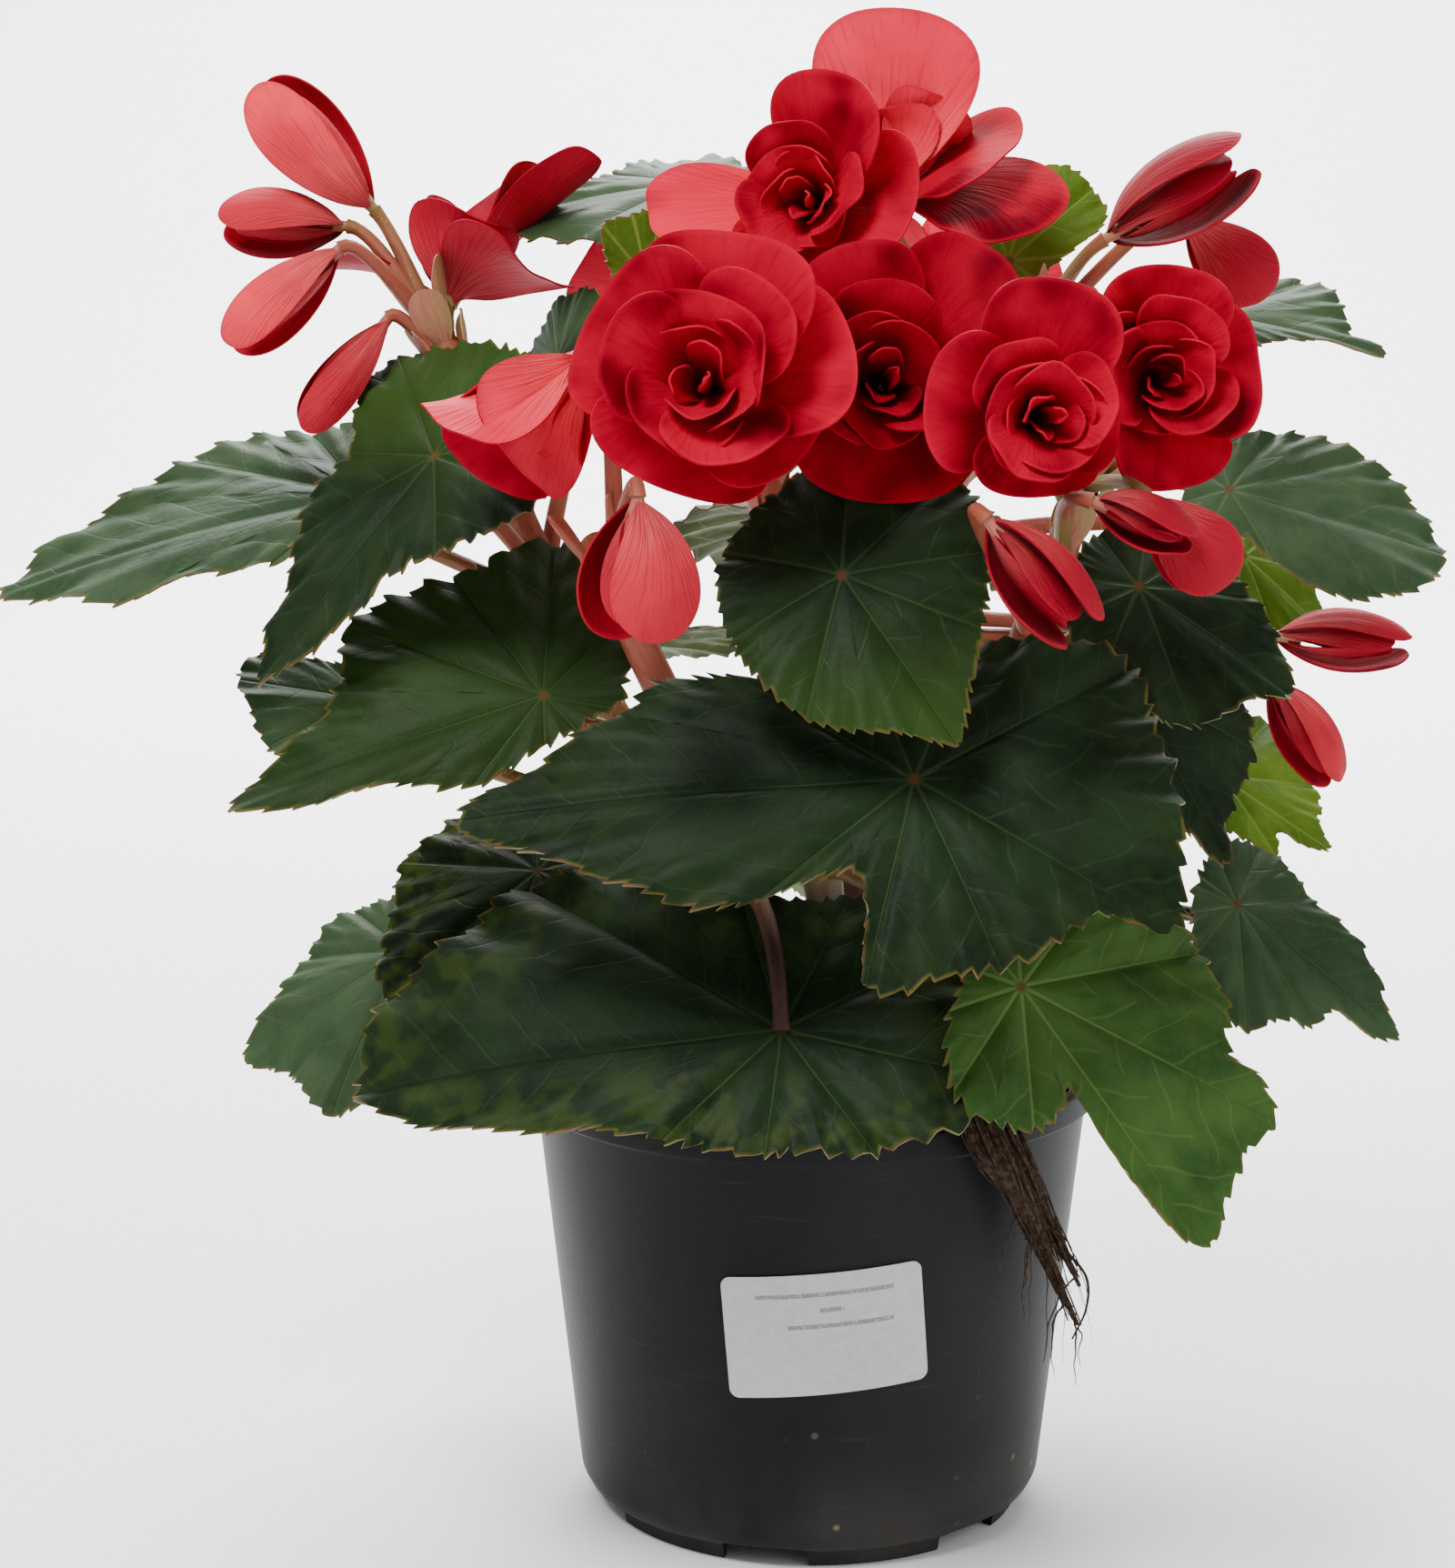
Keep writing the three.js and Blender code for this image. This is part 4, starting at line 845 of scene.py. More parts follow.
@dataclass(frozen=True)
class PotFinish:
    """Matt black moulded plastic with a dusty bloom, fine scuffs and a few crumbs stuck low down."""

    name: str = "Pot_plastic"
    dark: Triple = (0.0085, 0.0085, 0.009)
    dusty: Triple = (0.015, 0.0155, 0.0165)
    scuffed: Triple = (0.045, 0.045, 0.05)
    crumb: Triple = (0.16, 0.11, 0.07)
    silt: Triple = (0.1, 0.085, 0.07)

    def skin(self) -> Material:
        """Returns the finish."""
        wiring = Wiring(self.name, 0.45, Specular_IOR_Level=0.07)
        fine = wiring.clouds(1400, 2)
        broad = wiring.grain(wiring.place((14, 14, 9)), 1.0, 4, 0.6)
        scuff = wiring.fade(wiring.grain(wiring.place((60, 60, 900)), 1.0, 2), 0.62, 0.8)
        colour = wiring.blend(wiring.fade(broad, 0.35, 0.7), self.dark, self.dusty)
        colour = wiring.tint(colour, scuff, 0.25, self.scuffed)
        up = wiring.height()
        crumbs = wiring.fade(wiring.cells(wiring.place(), 150), 0.16, 0.08)
        crumbs = wiring.times(crumbs, wiring.fade(wiring.clouds(60, 1), 0.52, 0.6))
        crumbs = wiring.times(crumbs, wiring.fade(up, 0.05, 0.012))
        colour = wiring.blend(crumbs, colour, self.crumb)
        dust = wiring.times(wiring.fade(up, 0.03, 0.0), wiring.fade(broad, 0.4, 0.7))
        colour = wiring.tint(colour, dust, 0.3, self.silt)
        dull = wiring.add_product(broad, 0.25, 0.32)
        return wiring.finish(colour, fine, 0.06, dull)


@dataclass(frozen=True)
class CrumbFinish:
    """Crumbly peat, or dry fibre: dull, with lighter specks."""

    name: str
    dark: Triple
    light: Triple
    scale: float

    def skin(self) -> Material:
        """Returns the finish."""
        wiring = Wiring(self.name, 0.95, Specular_IOR_Level=0.2)
        clods = wiring.grain(wiring.place(), self.scale, 5, 0.65)
        specks = wiring.cells(wiring.place(), 2.4 * self.scale)
        colour = wiring.blend(wiring.fade(clods, 0.38, 0.66), self.dark, self.light)
        bright = wiring.times(wiring.fade(specks, 0.2, 0.1), 0.35)
        colour = wiring.blend(bright, colour, tuple(2.2 * part for part in self.light))
        return wiring.finish(colour, clods, 0.8)


SOIL_FINISH = CrumbFinish("Peat", (0.012, 0.007, 0.004), (0.055, 0.032, 0.018), 260)
ROOT_FINISH = CrumbFinish("Dry_root", (0.018, 0.01, 0.006), (0.075, 0.042, 0.025), 700)


@dataclass(frozen=True)
class LabelFinish:
    """White film-faced paper with a faint mottle and plain grey rules in place of print.

    A rule is its height, left end and right end, as shares of the label.
    """

    name: str = "Label_paper"
    paper: tuple[Triple, Triple] = ((0.44, 0.455, 0.47), (0.49, 0.505, 0.52))
    ink: Triple = (0.09, 0.09, 0.1)
    rules: tuple[Triple, ...] = ((0.83, 0.17, 0.85), (0.7, 0.48, 0.6), (0.57, 0.32, 0.84))
    half_rule: float = 0.018

    def skin(self) -> Material:
        """Returns the finish."""
        wiring = Wiring(self.name, 0.4, Specular_IOR_Level=0.5)
        mottle = wiring.clouds(500, 3)
        colour = wiring.blend(wiring.fade(mottle, 0.3, 0.7), *self.paper)
        across, up = wiring.split("Face")
        worn = wiring.clouds(1800, 1)
        for height, left, right in self.rules:
            away = wiring.maths("ABSOLUTE", wiring.maths("SUBTRACT", up, height))
            line = wiring.maths("LESS_THAN", away, self.half_rule)
            started = wiring.maths("GREATER_THAN", across, left)
            inside = wiring.times(started, wiring.maths("LESS_THAN", across, right))
            mask = wiring.times(wiring.times(line, inside), wiring.fade(worn, 0.2, 0.5))
            colour = wiring.tint(colour, mask, 0.7, self.ink)
        return wiring.finish(colour, mottle, 0.02)


# ---- leaves


@dataclass
class Leaf:
    """A toothed, puckered blade on the place and outline of its solid, and where its stalk runs.

    The outline goes round the knot as (degrees from the tip, hundredths of the length to the tip).
    The blade droops by the bend, and its two sides curl down by the curls. Veins run to the lobes.
    Painted light brightens it from the first of its two given heights to the second. The start is how far
    up its stem the stalk leaves, and the stalk bends past the point that it goes via, if it has one.
    """

    name: str
    tone: Tone
    stem: str
    start: float
    knot: Triple
    tip: Triple
    face: Triple
    bend: float
    curl: Pair
    outline: list[Pair]
    via: Triple | None = None
    patches: float = 0.05
    # painted light: the two heights between which the blade is tinted lighter
    painted_light: Pair | None = None

    THICKNESS = 0.5
    ROWS = (9, 20)
    RUFFLE = 0.035
    RUFFLE_WAVES = 7
    FLUTTER = 0.02
    FLUTTER_WAVES = 31
    CURL_SPAN = 0.6
    WALK = 720
    VEIN_GAP = 42
    BASE_VEINS = 140
    BASE_GAP = 38
    TOOTH = ((0.0, 0.0), (0.32, 0.3), (0.62, 0.7), (0.84, 1.0), (0.93, 0.5))
    TOOTH_WIDTH = (2.6, 5.0)
    TOOTH_DEPTH = (0.9, 2.5)
    TOOTHED = (0.84, 1.0)
    NOTCH = (180, 168)

    def __post_init__(self) -> None:
        """Works out the blade's own axes, its length along the midrib and its outline in shares."""
        self.shares = [(degrees, reach / 100) for degrees, reach in self.outline]
        chord = Vector(self.tip) - Vector(self.knot)
        bend = math.radians(self.bend)
        self.along = chord.normalized()
        face = Vector(self.face)
        self.out = (face - self.along * self.along.dot(face)).normalized()
        self.left = self.out.cross(self.along)
        turn = Quaternion(self.left, -bend / 2)
        self.along, self.out = turn @ self.along, turn @ self.out
        self.length = chord.length * (bend / 2) / math.sin(bend / 2)

    def place(self, degrees: float, reach: float, lift: float) -> Vector:
        """Returns a point of the bent blade.

        Args:
            degrees: the direction from the knot, counted from the tip.
            reach: the distance from the knot along the flat blade.
            lift: how far the point stands above the blade's waved surface.
        """
        angle = math.radians(degrees)
        wave = math.sin(self.RUFFLE_WAVES * angle + self.knot[0])
        rise = self.RUFFLE * reach * (reach / self.length) * wave + lift
        curl = math.radians(self.curl[0] if degrees > 0 else self.curl[1])
        side, rise = bent_down(reach * math.sin(angle), rise, curl, self.CURL_SPAN * self.length)
        ahead, rise = bent_down(reach * math.cos(angle), rise, math.radians(self.bend), self.length)
        return Vector(self.knot) + self.along * ahead + self.left * side + self.out * rise

    def veins(self) -> list[float]:
        """Returns the directions of the main veins: to the lobes, and into any gap between them."""
        inner = self.shares[1:-1]
        lobes = [0.0]
        for before, (degrees, share), after in zip(self.shares, inner, self.shares[2:]):
            if share > before[1] and share >= after[1] and all(abs(degrees - d) > 20 for d in lobes):
                lobes.append(degrees)
        lobes = sorted(lobe for lobe in lobes if abs(lobe) < 165)
        filled = [lobes[0]]
        for lobe in lobes[1:]:
            parts = max(1, round((lobe - filled[-1]) / self.VEIN_GAP))
            first = filled[-1]
            filled += [mix(first, lobe, part / parts) for part in range(1, parts + 1)]
        while filled[0] > -self.BASE_VEINS:
            filled.insert(0, filled[0] - self.BASE_GAP)
        while filled[-1] < self.BASE_VEINS:
            filled.append(filled[-1] + self.BASE_GAP)
        return filled

    def phase(self, degrees: float, veins: Sequence[float]) -> Pair:
        """Counts veins from one side of the notch to the other.

        Args:
            degrees: the direction from the knot.
            veins: the directions of the main veins.

        Returns:
            The count, whole on each vein, and the gap there from vein to vein in radians.
        """
        i = 0
        while i < len(veins) - 2 and degrees > veins[i + 1]:
            i += 1
        gap = veins[i + 1] - veins[i]
        return i + (degrees - veins[i]) / gap, math.radians(gap)

    def margin(self) -> list[tuple[float, float, float, float]]:
        """Walks round the toothed margin from one side of the notch to the other.

        Returns:
            The direction, plain reach, tooth height and squareness of each point. The squareness is
            how far the margin runs across the line from the knot, from 0 to 1.
        """
        dice = random.Random(self.name)
        walk = []
        for step in range(self.WALK + 1):
            degrees = -180 + 360 * step / self.WALK
            reach = self.length * smooth_through(self.shares, degrees)
            angle = math.radians(degrees)
            walk.append((degrees, reach, reach * math.cos(angle), reach * math.sin(angle)))
        runs = [0.0]
        for one, other in zip(walk, walk[1:]):
            runs.append(runs[-1] + math.hypot(other[2] - one[2], other[3] - one[3]))
        size = ease(10, 95, self.length)
        count = max(10, round(runs[-1] / mix(*self.TOOTH_WIDTH, size)))
        widths = [dice.uniform(0.5, 1.5) for _ in range(count)]
        scale = runs[-1] / sum(widths)
        backwards = [(1 - share, height) for share, height in self.TOOTH[::-1]]
        points = []
        start, i = 0.0, 0
        for width in widths:
            depth = mix(*self.TOOTH_DEPTH, size) * dice.uniform(0.4, 1.2)
            towards = walk[i][0] < 0
            for share, height in self.TOOTH if towards else backwards:
                run = start + share * width * scale
                while i < self.WALK - 1 and runs[i + 1] < run:
                    i += 1
                stride = max(1e-6, runs[i + 1] - runs[i])
                part = (run - runs[i]) / stride
                degrees = mix(walk[i][0], walk[i + 1][0], part)
                reach = mix(walk[i][1], walk[i + 1][1], part)
                square = reach * math.radians(360 / self.WALK) / stride
                points.append((degrees, reach, depth * (height - 0.5), min(1.0, max(0.2, square))))
            start += width * scale
        return points

    def pucker(self, reach: float, phase: float, gap: float) -> float:
        """Puckers the blade: it swells between its veins and sinks along them.

        Args:
            reach: the distance from the knot.
            phase: the count of veins.
            gap: the angle from vein to vein in radians.

        Returns:
            The lift above the smooth blade.
        """
        turn = (phase + 0.5) % 1 - 0.5
        off = abs(turn) * gap * reach
        main = math.exp(-((off / 1.5) ** 2)) * ease(0, 10, reach)
        step = ((reach - off) / VEIN_STEP + (0.5 if turn > 0 else 0)) % 1
        side = (1 - (2 * step - 1) ** 2) * ease(6, 18, reach) * ease(0, 3, off)
        bulge = math.cos(math.pi * turn) ** 2
        return 0.45 * side - 0.55 * main - 0.5 * bulge * ease(4, 22, reach)

    def build(self, skins: list[Material]) -> Object:
        """Builds the blade.

        Args:
            skins: the upper, under and edge finishes.

        Returns:
            The finished leaf.
        """
        margin = self.margin()
        veins = self.veins()
        columns = len(margin)
        rows = round(mix(*self.ROWS, ease(15, 90, self.length)))

        def spot(column: int, row: int) -> Spot:
            """Returns the point of a margin point's spoke at a row, counted out from the knot."""
            degrees, plain, tooth, square = margin[-column % columns]
            degrees = 180.0 if column == 0 else degrees
            share = row / rows
            share *= 1.3 - 0.3 * share
            toothed = ease(*self.TOOTHED, share)
            reach = plain * share + tooth * toothed
            phase, gap = self.phase(degrees, veins)
            wave = math.sin(math.radians(self.FLUTTER_WAVES * degrees) + 3 * self.knot[2])
            lift = self.pucker(reach, phase, gap) * min(1.0, self.length / 60)
            lift = lift * ease(*self.NOTCH, abs(degrees)) + wave * self.FLUTTER * plain * share**5
            edge = (plain * (1 - share) + 0.4 * abs(tooth) * (1 - toothed)) * square
            at = self.place(degrees, reach, lift)
            maps = {
                "Vein": (phase, gap * reach / MAP_UNIT),
                "Reach": (reach / MAP_UNIT, max(0.0, edge) / MAP_UNIT),
                # the second Mood value is painted light by height
                "Mood": (self.patches, ease(*self.painted_light, at.z) if self.painted_light else 0.0),
            }
            return Spot(at, maps)

        bm = bmesh.new()
        lay_sheet(bm, columns, rows, spot)
        piece = Piece(self.name + "_blade", self.name, self.tone.value, skins, self.THICKNESS)
        return piece.finish(bm)

    def stalk(self, run: Path) -> Path:
        """Returns the way that the leaf's stalk runs from the middle of its stem to the knot."""
        root = run.at(self.start)
        knot = Vector(self.knot)
        if self.via:
            return Path.bezier(root, Vector(self.via), knot + self.out * 0.4)
        end = knot - self.out * 0.3
        reach = (end - root).length
        return Path.bezier(
            root, root.lerp(end, 0.3) + UP * 0.16 * reach, end - self.out * 0.25 * reach, end
        )


# ---- blooms and buds


@dataclass
class Axes:
    """The way a bloom or bud faces, with a direction across it to the right and one over it."""

    axis: Vector
    across: Vector = field(init=False)
    over: Vector = field(init=False)

    def __post_init__(self) -> None:
        """Works out the two cross directions."""
        self.axis = self.axis.normalized()
        level = Vector((0, 1, 0)) if abs(self.axis.z) > 0.97 else UP
        self.across = level.cross(self.axis).normalized()
        self.over = self.axis.cross(self.across)

    def outward(self, azimuth: float) -> Vector:
        """Returns the direction away from the axis at an azimuth in degrees."""
        turn = math.radians(azimuth)
        return self.across * math.cos(turn) + self.over * math.sin(turn)


@dataclass
class Petal:
    """One petal: an arc seen from the side, drawn in at its base and cupped round the axis."""

    azimuth: float
    length: float
    width: float
    lean: Pair
    cup: float
    offset: float
    height: float
    swirl: float
    frill: float = 0.5
    # how much painted shade darkens the petal, for one that lies in shade
    age: float = 0.0
    blush: float = 0.0
    keel: float = 0.0
    roll: float = 0.0

    def lay(self, bm: BMesh, base: Vector, axes: Axes, cells: int) -> None:
        """Lays the petal into a mesh.

        Args:
            bm: the mesh that takes it.
            base: where the bloom's petals meet.
            axes: the way the bloom faces.
            cells: faces each way.
        """
        outward = axes.outward(self.azimuth)
        sideways = axes.axis.cross(outward)
        start, end = (math.radians(angle) for angle in self.lean)
        rate = (end - start) / self.length
        seed = self.azimuth * 0.37 + self.length

        def spot(column: int, row: int) -> Spot:
            """Returns the point at a column from the base and a row from one side."""
            a, b = 2 * column / cells - 1, 2 * row / cells - 1
            along = (1 + a * math.sqrt(1 - b * b / 2)) / 2
            across = b * math.sqrt(1 - a * a / 2)
            half = self.width / 2 * across * (0.12 + 0.88 * along**0.6)
            angle = start + (end - start) * along
            out_run = (math.cos(start) - math.cos(angle)) / rate + self.offset
            up_run = (math.sin(angle) - math.sin(start)) / rate + self.height
            wrap = half / self.cup
            edge = ease(0.55, 1.0, math.hypot(2 * along - 1, across))
            wave = math.sin(5.3 * across + seed) + 0.6 * math.sin(9.1 * across + 2 * seed + 3 * along)
            ripple = 0.25 * noise.noise(Vector((4 * along, 4 * across, seed)))
            inward = self.cup * (1 - math.cos(wrap)) - self.swirl * half
            inward += self.frill * (edge * wave + ripple) - self.roll * edge * along
            inward -= self.keel * math.exp(-((across * 5) ** 2)) * math.sin(math.pi * along)
            place = (
                base
                + outward * (out_run - inward * math.cos(angle))
                + axes.axis * (up_run + inward * math.sin(angle))
                + sideways * (self.cup * math.sin(wrap))
            )
            maps = {
                "Petal": (along, across / 2 + 0.5),
                "Mood": (self.age, self.blush),
                "Run": (across / 2 + 0.5, along * self.length / MAP_UNIT),
            }
            return Spot(place, maps)

        lay_sheet(bm, cells, cells, spot)


def lay_receptacle(
    bm: BMesh, base: Vector, axes: Axes, foot: float, top: float, length: float
) -> None:
    """Lays the swollen green-pink base that petals grow from, as the fourth skin."""
    path = Path([base - axes.axis, base, base + axes.axis * length])
    lay_tube(bm, path, lambda share: mix(foot, top, ease(0, 1, share)), 12, 6, SOLID_SLOT)


def flower_stalk(run: Path, start: float, base: Vector, axis: Vector) -> Path:
    """Finds the way that a bloom's or bud's stalk runs.

    Args:
        run: the middle of the stem that it grows from.
        start: how far up that stem it leaves.
        base: where it meets the flower.
        axis: the way the flower faces.

    Returns:
        The middle of the stalk.
    """
    root = run.at(min(start, 0.99))
    end = base - axis * 0.6
    reach = (end - root).length
    return Path.bezier(root, root.lerp(end, 0.3), end - axis * 0.2 * reach, end)


@dataclass
class Bloom:
    """A double bloom: broad guards, a ring inside them and a heart of nested, rolled petals.

    A guard is its azimuth, its length and width as shares of the bloom's radius, and how far it leans
    out. Its cup, swirl and blush may follow.
    """

    name: str
    stem: str
    start: float
    centre: Triple
    facing: Triple
    radius: float
    open: float
    turn: float
    guards: list[tuple[float, ...]]
    # how much painted shade darkens the whole bloom, where it lies in shade
    age: float = 0.0

    RING = (30, 150, 270)
    RING_OPEN = 0.6
    HEART = (0.54, 0.47, 0.41, 0.33, 0.26, 0.19, 0.13, 0.08)
    HEART_TURN = 137.5
    HEART_TILT = 0.16
    DEPTH = 0.45
    THICKNESS = 0.45

    @property
    def axes(self) -> Axes:
        """The way the bloom faces."""
        return Axes(Vector(self.facing))

    @property
    def base(self) -> Vector:
        """Where the petals meet the stalk."""
        return Vector(self.centre) - self.axes.axis * self.DEPTH * self.radius

    def stalk(self, run: Path) -> Path:
        """Returns the way that the bloom's stalk runs from the middle of its stem."""
        return flower_stalk(run, self.start, self.base, self.axes.axis)

    def outer_petals(self) -> list[Petal]:
        """Returns the guards, and the ring of three inside them once the bloom is open."""
        size = self.radius
        dice = random.Random(self.name)
        petals = []
        for azimuth, length, width, lean, *shape in self.guards:
            cup = shape[0] if shape else 0.45 + 0.008 * lean
            swirl = shape[1] if len(shape) > 1 else 0.2
            petals.append(
                Petal(
                    azimuth, size * length, size * width, (0.5 * lean, lean), size * cup,
                    1.2, 0, swirl, frill=0.55, age=self.age,
                    blush=shape[2] if len(shape) > 2 else dice.uniform(0, 0.2),
                )
            )
        if self.open >= self.RING_OPEN:
            for azimuth in self.RING:
                petals.append(
                    Petal(
                        self.turn + azimuth, size * 0.86, size * 1.15,
                        (30 * self.open, 68 * self.open), size, 1.8, 3.4, 0.2,
                        frill=0.6, age=self.age, blush=dice.uniform(0, 0.15),
                    )
                )
        return petals

    def heart_petals(self) -> list[Petal]:
        """Returns the nested petals of the heart, from the loose outer ones to the tight middle."""
        size = self.radius
        dice = random.Random(self.name + "heart")
        petals = []
        for i, reach in enumerate(self.HEART):
            inner = i / (len(self.HEART) - 1)
            azimuth = self.turn + 70 + self.HEART_TURN * i + dice.uniform(-24, 24)
            skew = 1 + 0.13 * math.cos(math.radians(azimuth - self.turn + 65))
            length = mix(0.82, 0.6, inner) * skew * dice.uniform(0.92, 1.06)
            lean = math.degrees(math.asin(reach / length)) * (0.5 + 0.5 * self.open)
            opening = mix(0.5, -0.5, ease(0.0, 0.5, inner))
            petals.append(
                Petal(
                    azimuth, size * length, size * reach * dice.uniform(2.2, 3.3),
                    (lean * (1 - opening), lean * (1 + opening) + 0.2), size * reach,
                    size * 0.02, mix(2.0, 3.4, inner), dice.uniform(0.04, 0.24),
                    frill=mix(0.6, 0.25, inner), age=self.age, roll=mix(1.5, 0.4, inner),
                )
            )
        return petals

    def build(self, skins: list[Material]) -> Object:
        """Builds the bloom.

        Args:
            skins: the finishes of the inner face, back, edge and base.

        Returns:
            The finished bloom.
        """
        sheets = bmesh.new()
        for petal in self.outer_petals():
            petal.lay(sheets, self.base, self.axes, PETAL_CELLS[0])
        skewed = Axes(self.axes.axis + self.axes.outward(self.turn + 200) * self.HEART_TILT)
        for petal in self.heart_petals():
            petal.lay(sheets, self.base, skewed, PETAL_CELLS[1])
        solid = bmesh.new()
        size = self.radius
        lay_receptacle(solid, self.base, self.axes, 0.09 * size, 0.12 * size, 0.07 * size)
        piece = Piece(self.name + "_petals", self.name, "petal", skins, self.THICKNESS)
        return piece.finish(sheets, solid)


@dataclass
class Bud:
    """A drooping bud of two domed valves, with the first red petals folded between them."""

    name: str
    stem: str
    start: float
    base: Triple
    tip: Triple
    faces: Triple
    width: float
    gape: float = 0.0
    blush: float = 0.0
    # how much painted shade darkens the bud
    age: float = 0.0

    FOLDED = (35, 150, 270)
    THICKNESS = 0.5

    @property
    def axes(self) -> Axes:
        """The way the bud points."""
        return Axes(Vector(self.tip) - Vector(self.base))

    def stalk(self, run: Path) -> Path:
        """Returns the way that the bud's stalk runs from the middle of its stem."""
        return flower_stalk(run, self.start, Vector(self.base), self.axes.axis)

    def petals(self) -> list[Petal]:
        """Returns the two valves and the folded petals between them."""
        axes = self.axes
        faces = Vector(self.faces)
        length = (Vector(self.tip) - Vector(self.base)).length
        first = math.degrees(math.atan2(faces.dot(axes.over), faces.dot(axes.across)))
        valves = [
            Petal(
                first + half, 1.06 * length, 1.1 * self.width, (42 + self.gape, -36 + self.gape),
                0.75 * self.width, 0.5, 0, 0, frill=0.15, keel=0.35, blush=self.blush,
                age=self.age,
            )
            for half in (0, 180)
        ]
        folded = [
            Petal(
                first + azimuth, 0.86 * length, 0.8 * self.width, (26, -22 + 0.6 * self.gape),
                0.42 * self.width, 0.4, 0.6, 0.15, frill=0.25, blush=0.5 * self.blush,
            )
            for azimuth in self.FOLDED
        ]
        return valves + folded

    def build(self, skins: list[Material]) -> Object:
        """Builds the bud.

        Args:
            skins: the finishes of the inner face, back, edge and base.

        Returns:
            The finished bud.
        """
        sheets = bmesh.new()
        base, axes = Vector(self.base), self.axes
        for i, petal in enumerate(self.petals()):
            petal.lay(sheets, base, axes, PETAL_CELLS[i >= 2])
        solid = bmesh.new()
        length = (Vector(self.tip) - base).length
        lay_receptacle(solid, base, axes, 1.2, 0.12 * self.width, 0.18 * length)
        piece = Piece(self.name + "_valves", self.name, "bud", skins, self.THICKNESS)
        return piece.finish(sheets, solid)


# ---- stems


@dataclass
class Stem:
    """A main stem with its swollen joints, its bracts, and every stalk that grows from it.

    A stalk has its radii at the stem and at its end, its faces round and its faces along.
    """

    name: str
    path: list[Triple]
    radii: Pair

    STALKS = {
        Leaf: ((2.2, 1.6), 12, 26), Bloom: ((2.1, 1.55), 10, 22), Bud: ((1.9, 1.35), 10, 20),
    }
    CELLS = (20, 60)
    BRACT = (9, 16)
    BRACT_CELLS = 10
    BRACT_THICKNESS = 0.35

    def girth(self, joints: Sequence[float]) -> Callable[[float], float]:
        """Returns the stem's radius by share of its length, swollen at its joints."""

        def radius(share: float) -> float:
            """Returns the radius at a share of the way up."""
            swell = max([math.exp(-(((share - joint) / 0.025) ** 2)) for joint in joints] or [0])
            tip = 1 - 0.35 * ease(0.965, 1.0, share)
            return mix(self.radii[0], self.radii[1], share) * (0.96 + 0.16 * swell) * tip

        return radius

    @staticmethod
    def flared(radii: Pair, length: float) -> Callable[[float], float]:
        """Returns a stalk's radius, flared where it leaves its stem and where it ends."""

        def radius(share: float) -> float:
            """Returns the radius at a share of the way along."""
            root = math.exp(-share * length / 3.0)
            head = math.exp(-(1 - share) * length / 1.6)
            return mix(radii[0], radii[1], share) * (1 + 0.55 * root + 0.3 * head)

        return radius

    def lay_bracts(self, bm: BMesh, run: Path, joints: Sequence[float]) -> None:
        """Lays a pair of papery bracts round each joint."""
        for i, joint in enumerate(joints):
            size = mix(*self.BRACT, ease(0.5, 1.0, joint))
            for side in (40, 215):
                bract = Petal(
                    side + 77 * i, size, 0.75 * size, (30, 8), 0.42 * size, 1.6, -1.5, 0, frill=0.3
                )
                bract.lay(bm, run.at(joint), Axes(run.heading(joint)), self.BRACT_CELLS)

    def build(self, growth: Sequence[Leaf | Bloom | Bud], skins: list[Material]) -> Object:
        """Builds the stem.

        Args:
            growth: everything that grows from the main stems.
            skins: three bract finishes and the stem's own.

        Returns:
            The finished stem.
        """
        solid, bracts = bmesh.new(), bmesh.new()
        run = Path.through(self.path)
        own = [item for item in growth if item.stem == self.name]
        joints = sorted({item.start for item in own})
        lay_tube(solid, run, self.girth(joints), *self.CELLS, SOLID_SLOT)
        for item in own:
            path = item.stalk(run)
            radii, sides, steps = self.STALKS[type(item)]
            lay_tube(solid, path, self.flared(radii, path.length), sides, steps, SOLID_SLOT)
        self.lay_bracts(bracts, run, joints)
        piece = Piece(self.name + "_stalks", self.name, "stem", skins, self.BRACT_THICKNESS)
        return piece.finish(bracts, solid)


# ---- pot, label, soil and dead roots


def spun(profile: Sequence[Pair], steps: int) -> BMesh:
    """Spins a closed profile of (radius, height) pairs round the Z axis.

    Args:
        profile: the pairs, anticlockwise with the axis on the left, starting and ending on it.
        steps: faces round.

    Returns:
        The closed mesh.
    """
    bm = bmesh.new()
    verts = [bm.verts.new((radius, 0, height)) for radius, height in profile]
    edges = [bm.edges.new(pair) for pair in zip(verts, verts[1:])]
    bmesh.ops.spin(
        bm, geom=[*verts, *edges], cent=(0, 0, 0), axis=(0, 0, 1), angle=math.tau, steps=steps,
        use_merge=True,
    )
    bmesh.ops.remove_doubles(bm, verts=bm.verts, dist=1e-4)
    bmesh.ops.recalc_face_normals(bm, faces=bm.faces)
    for face in bm.faces:
        face.smooth = True
    return bm


def rounded(corners: Sequence[tuple[float, float, float]], steps: int = 4) -> list[Pair]:
    """Rounds the corners of a profile.

    Args:
        corners: (radius, height, rounding) for each corner, the last one being 0 for a sharp corner.
        steps: segments in each rounding.

    Returns:
        The rounded profile.
    """
    points = []
    for before, corner, after in zip([corners[0], *corners], corners, [*corners[1:], corners[-1]]):
        here, size = Vector(corner[:2]), corner[2]
        if not size:
            points.append(tuple(here))
            continue
        first = here + (Vector(before[:2]) - here).normalized() * size
        last = here + (Vector(after[:2]) - here).normalized() * size
        for step in range(steps + 1):
            share = step / steps
            points.append(tuple(first.lerp(here, share).lerp(here.lerp(last, share), share)))
    return points


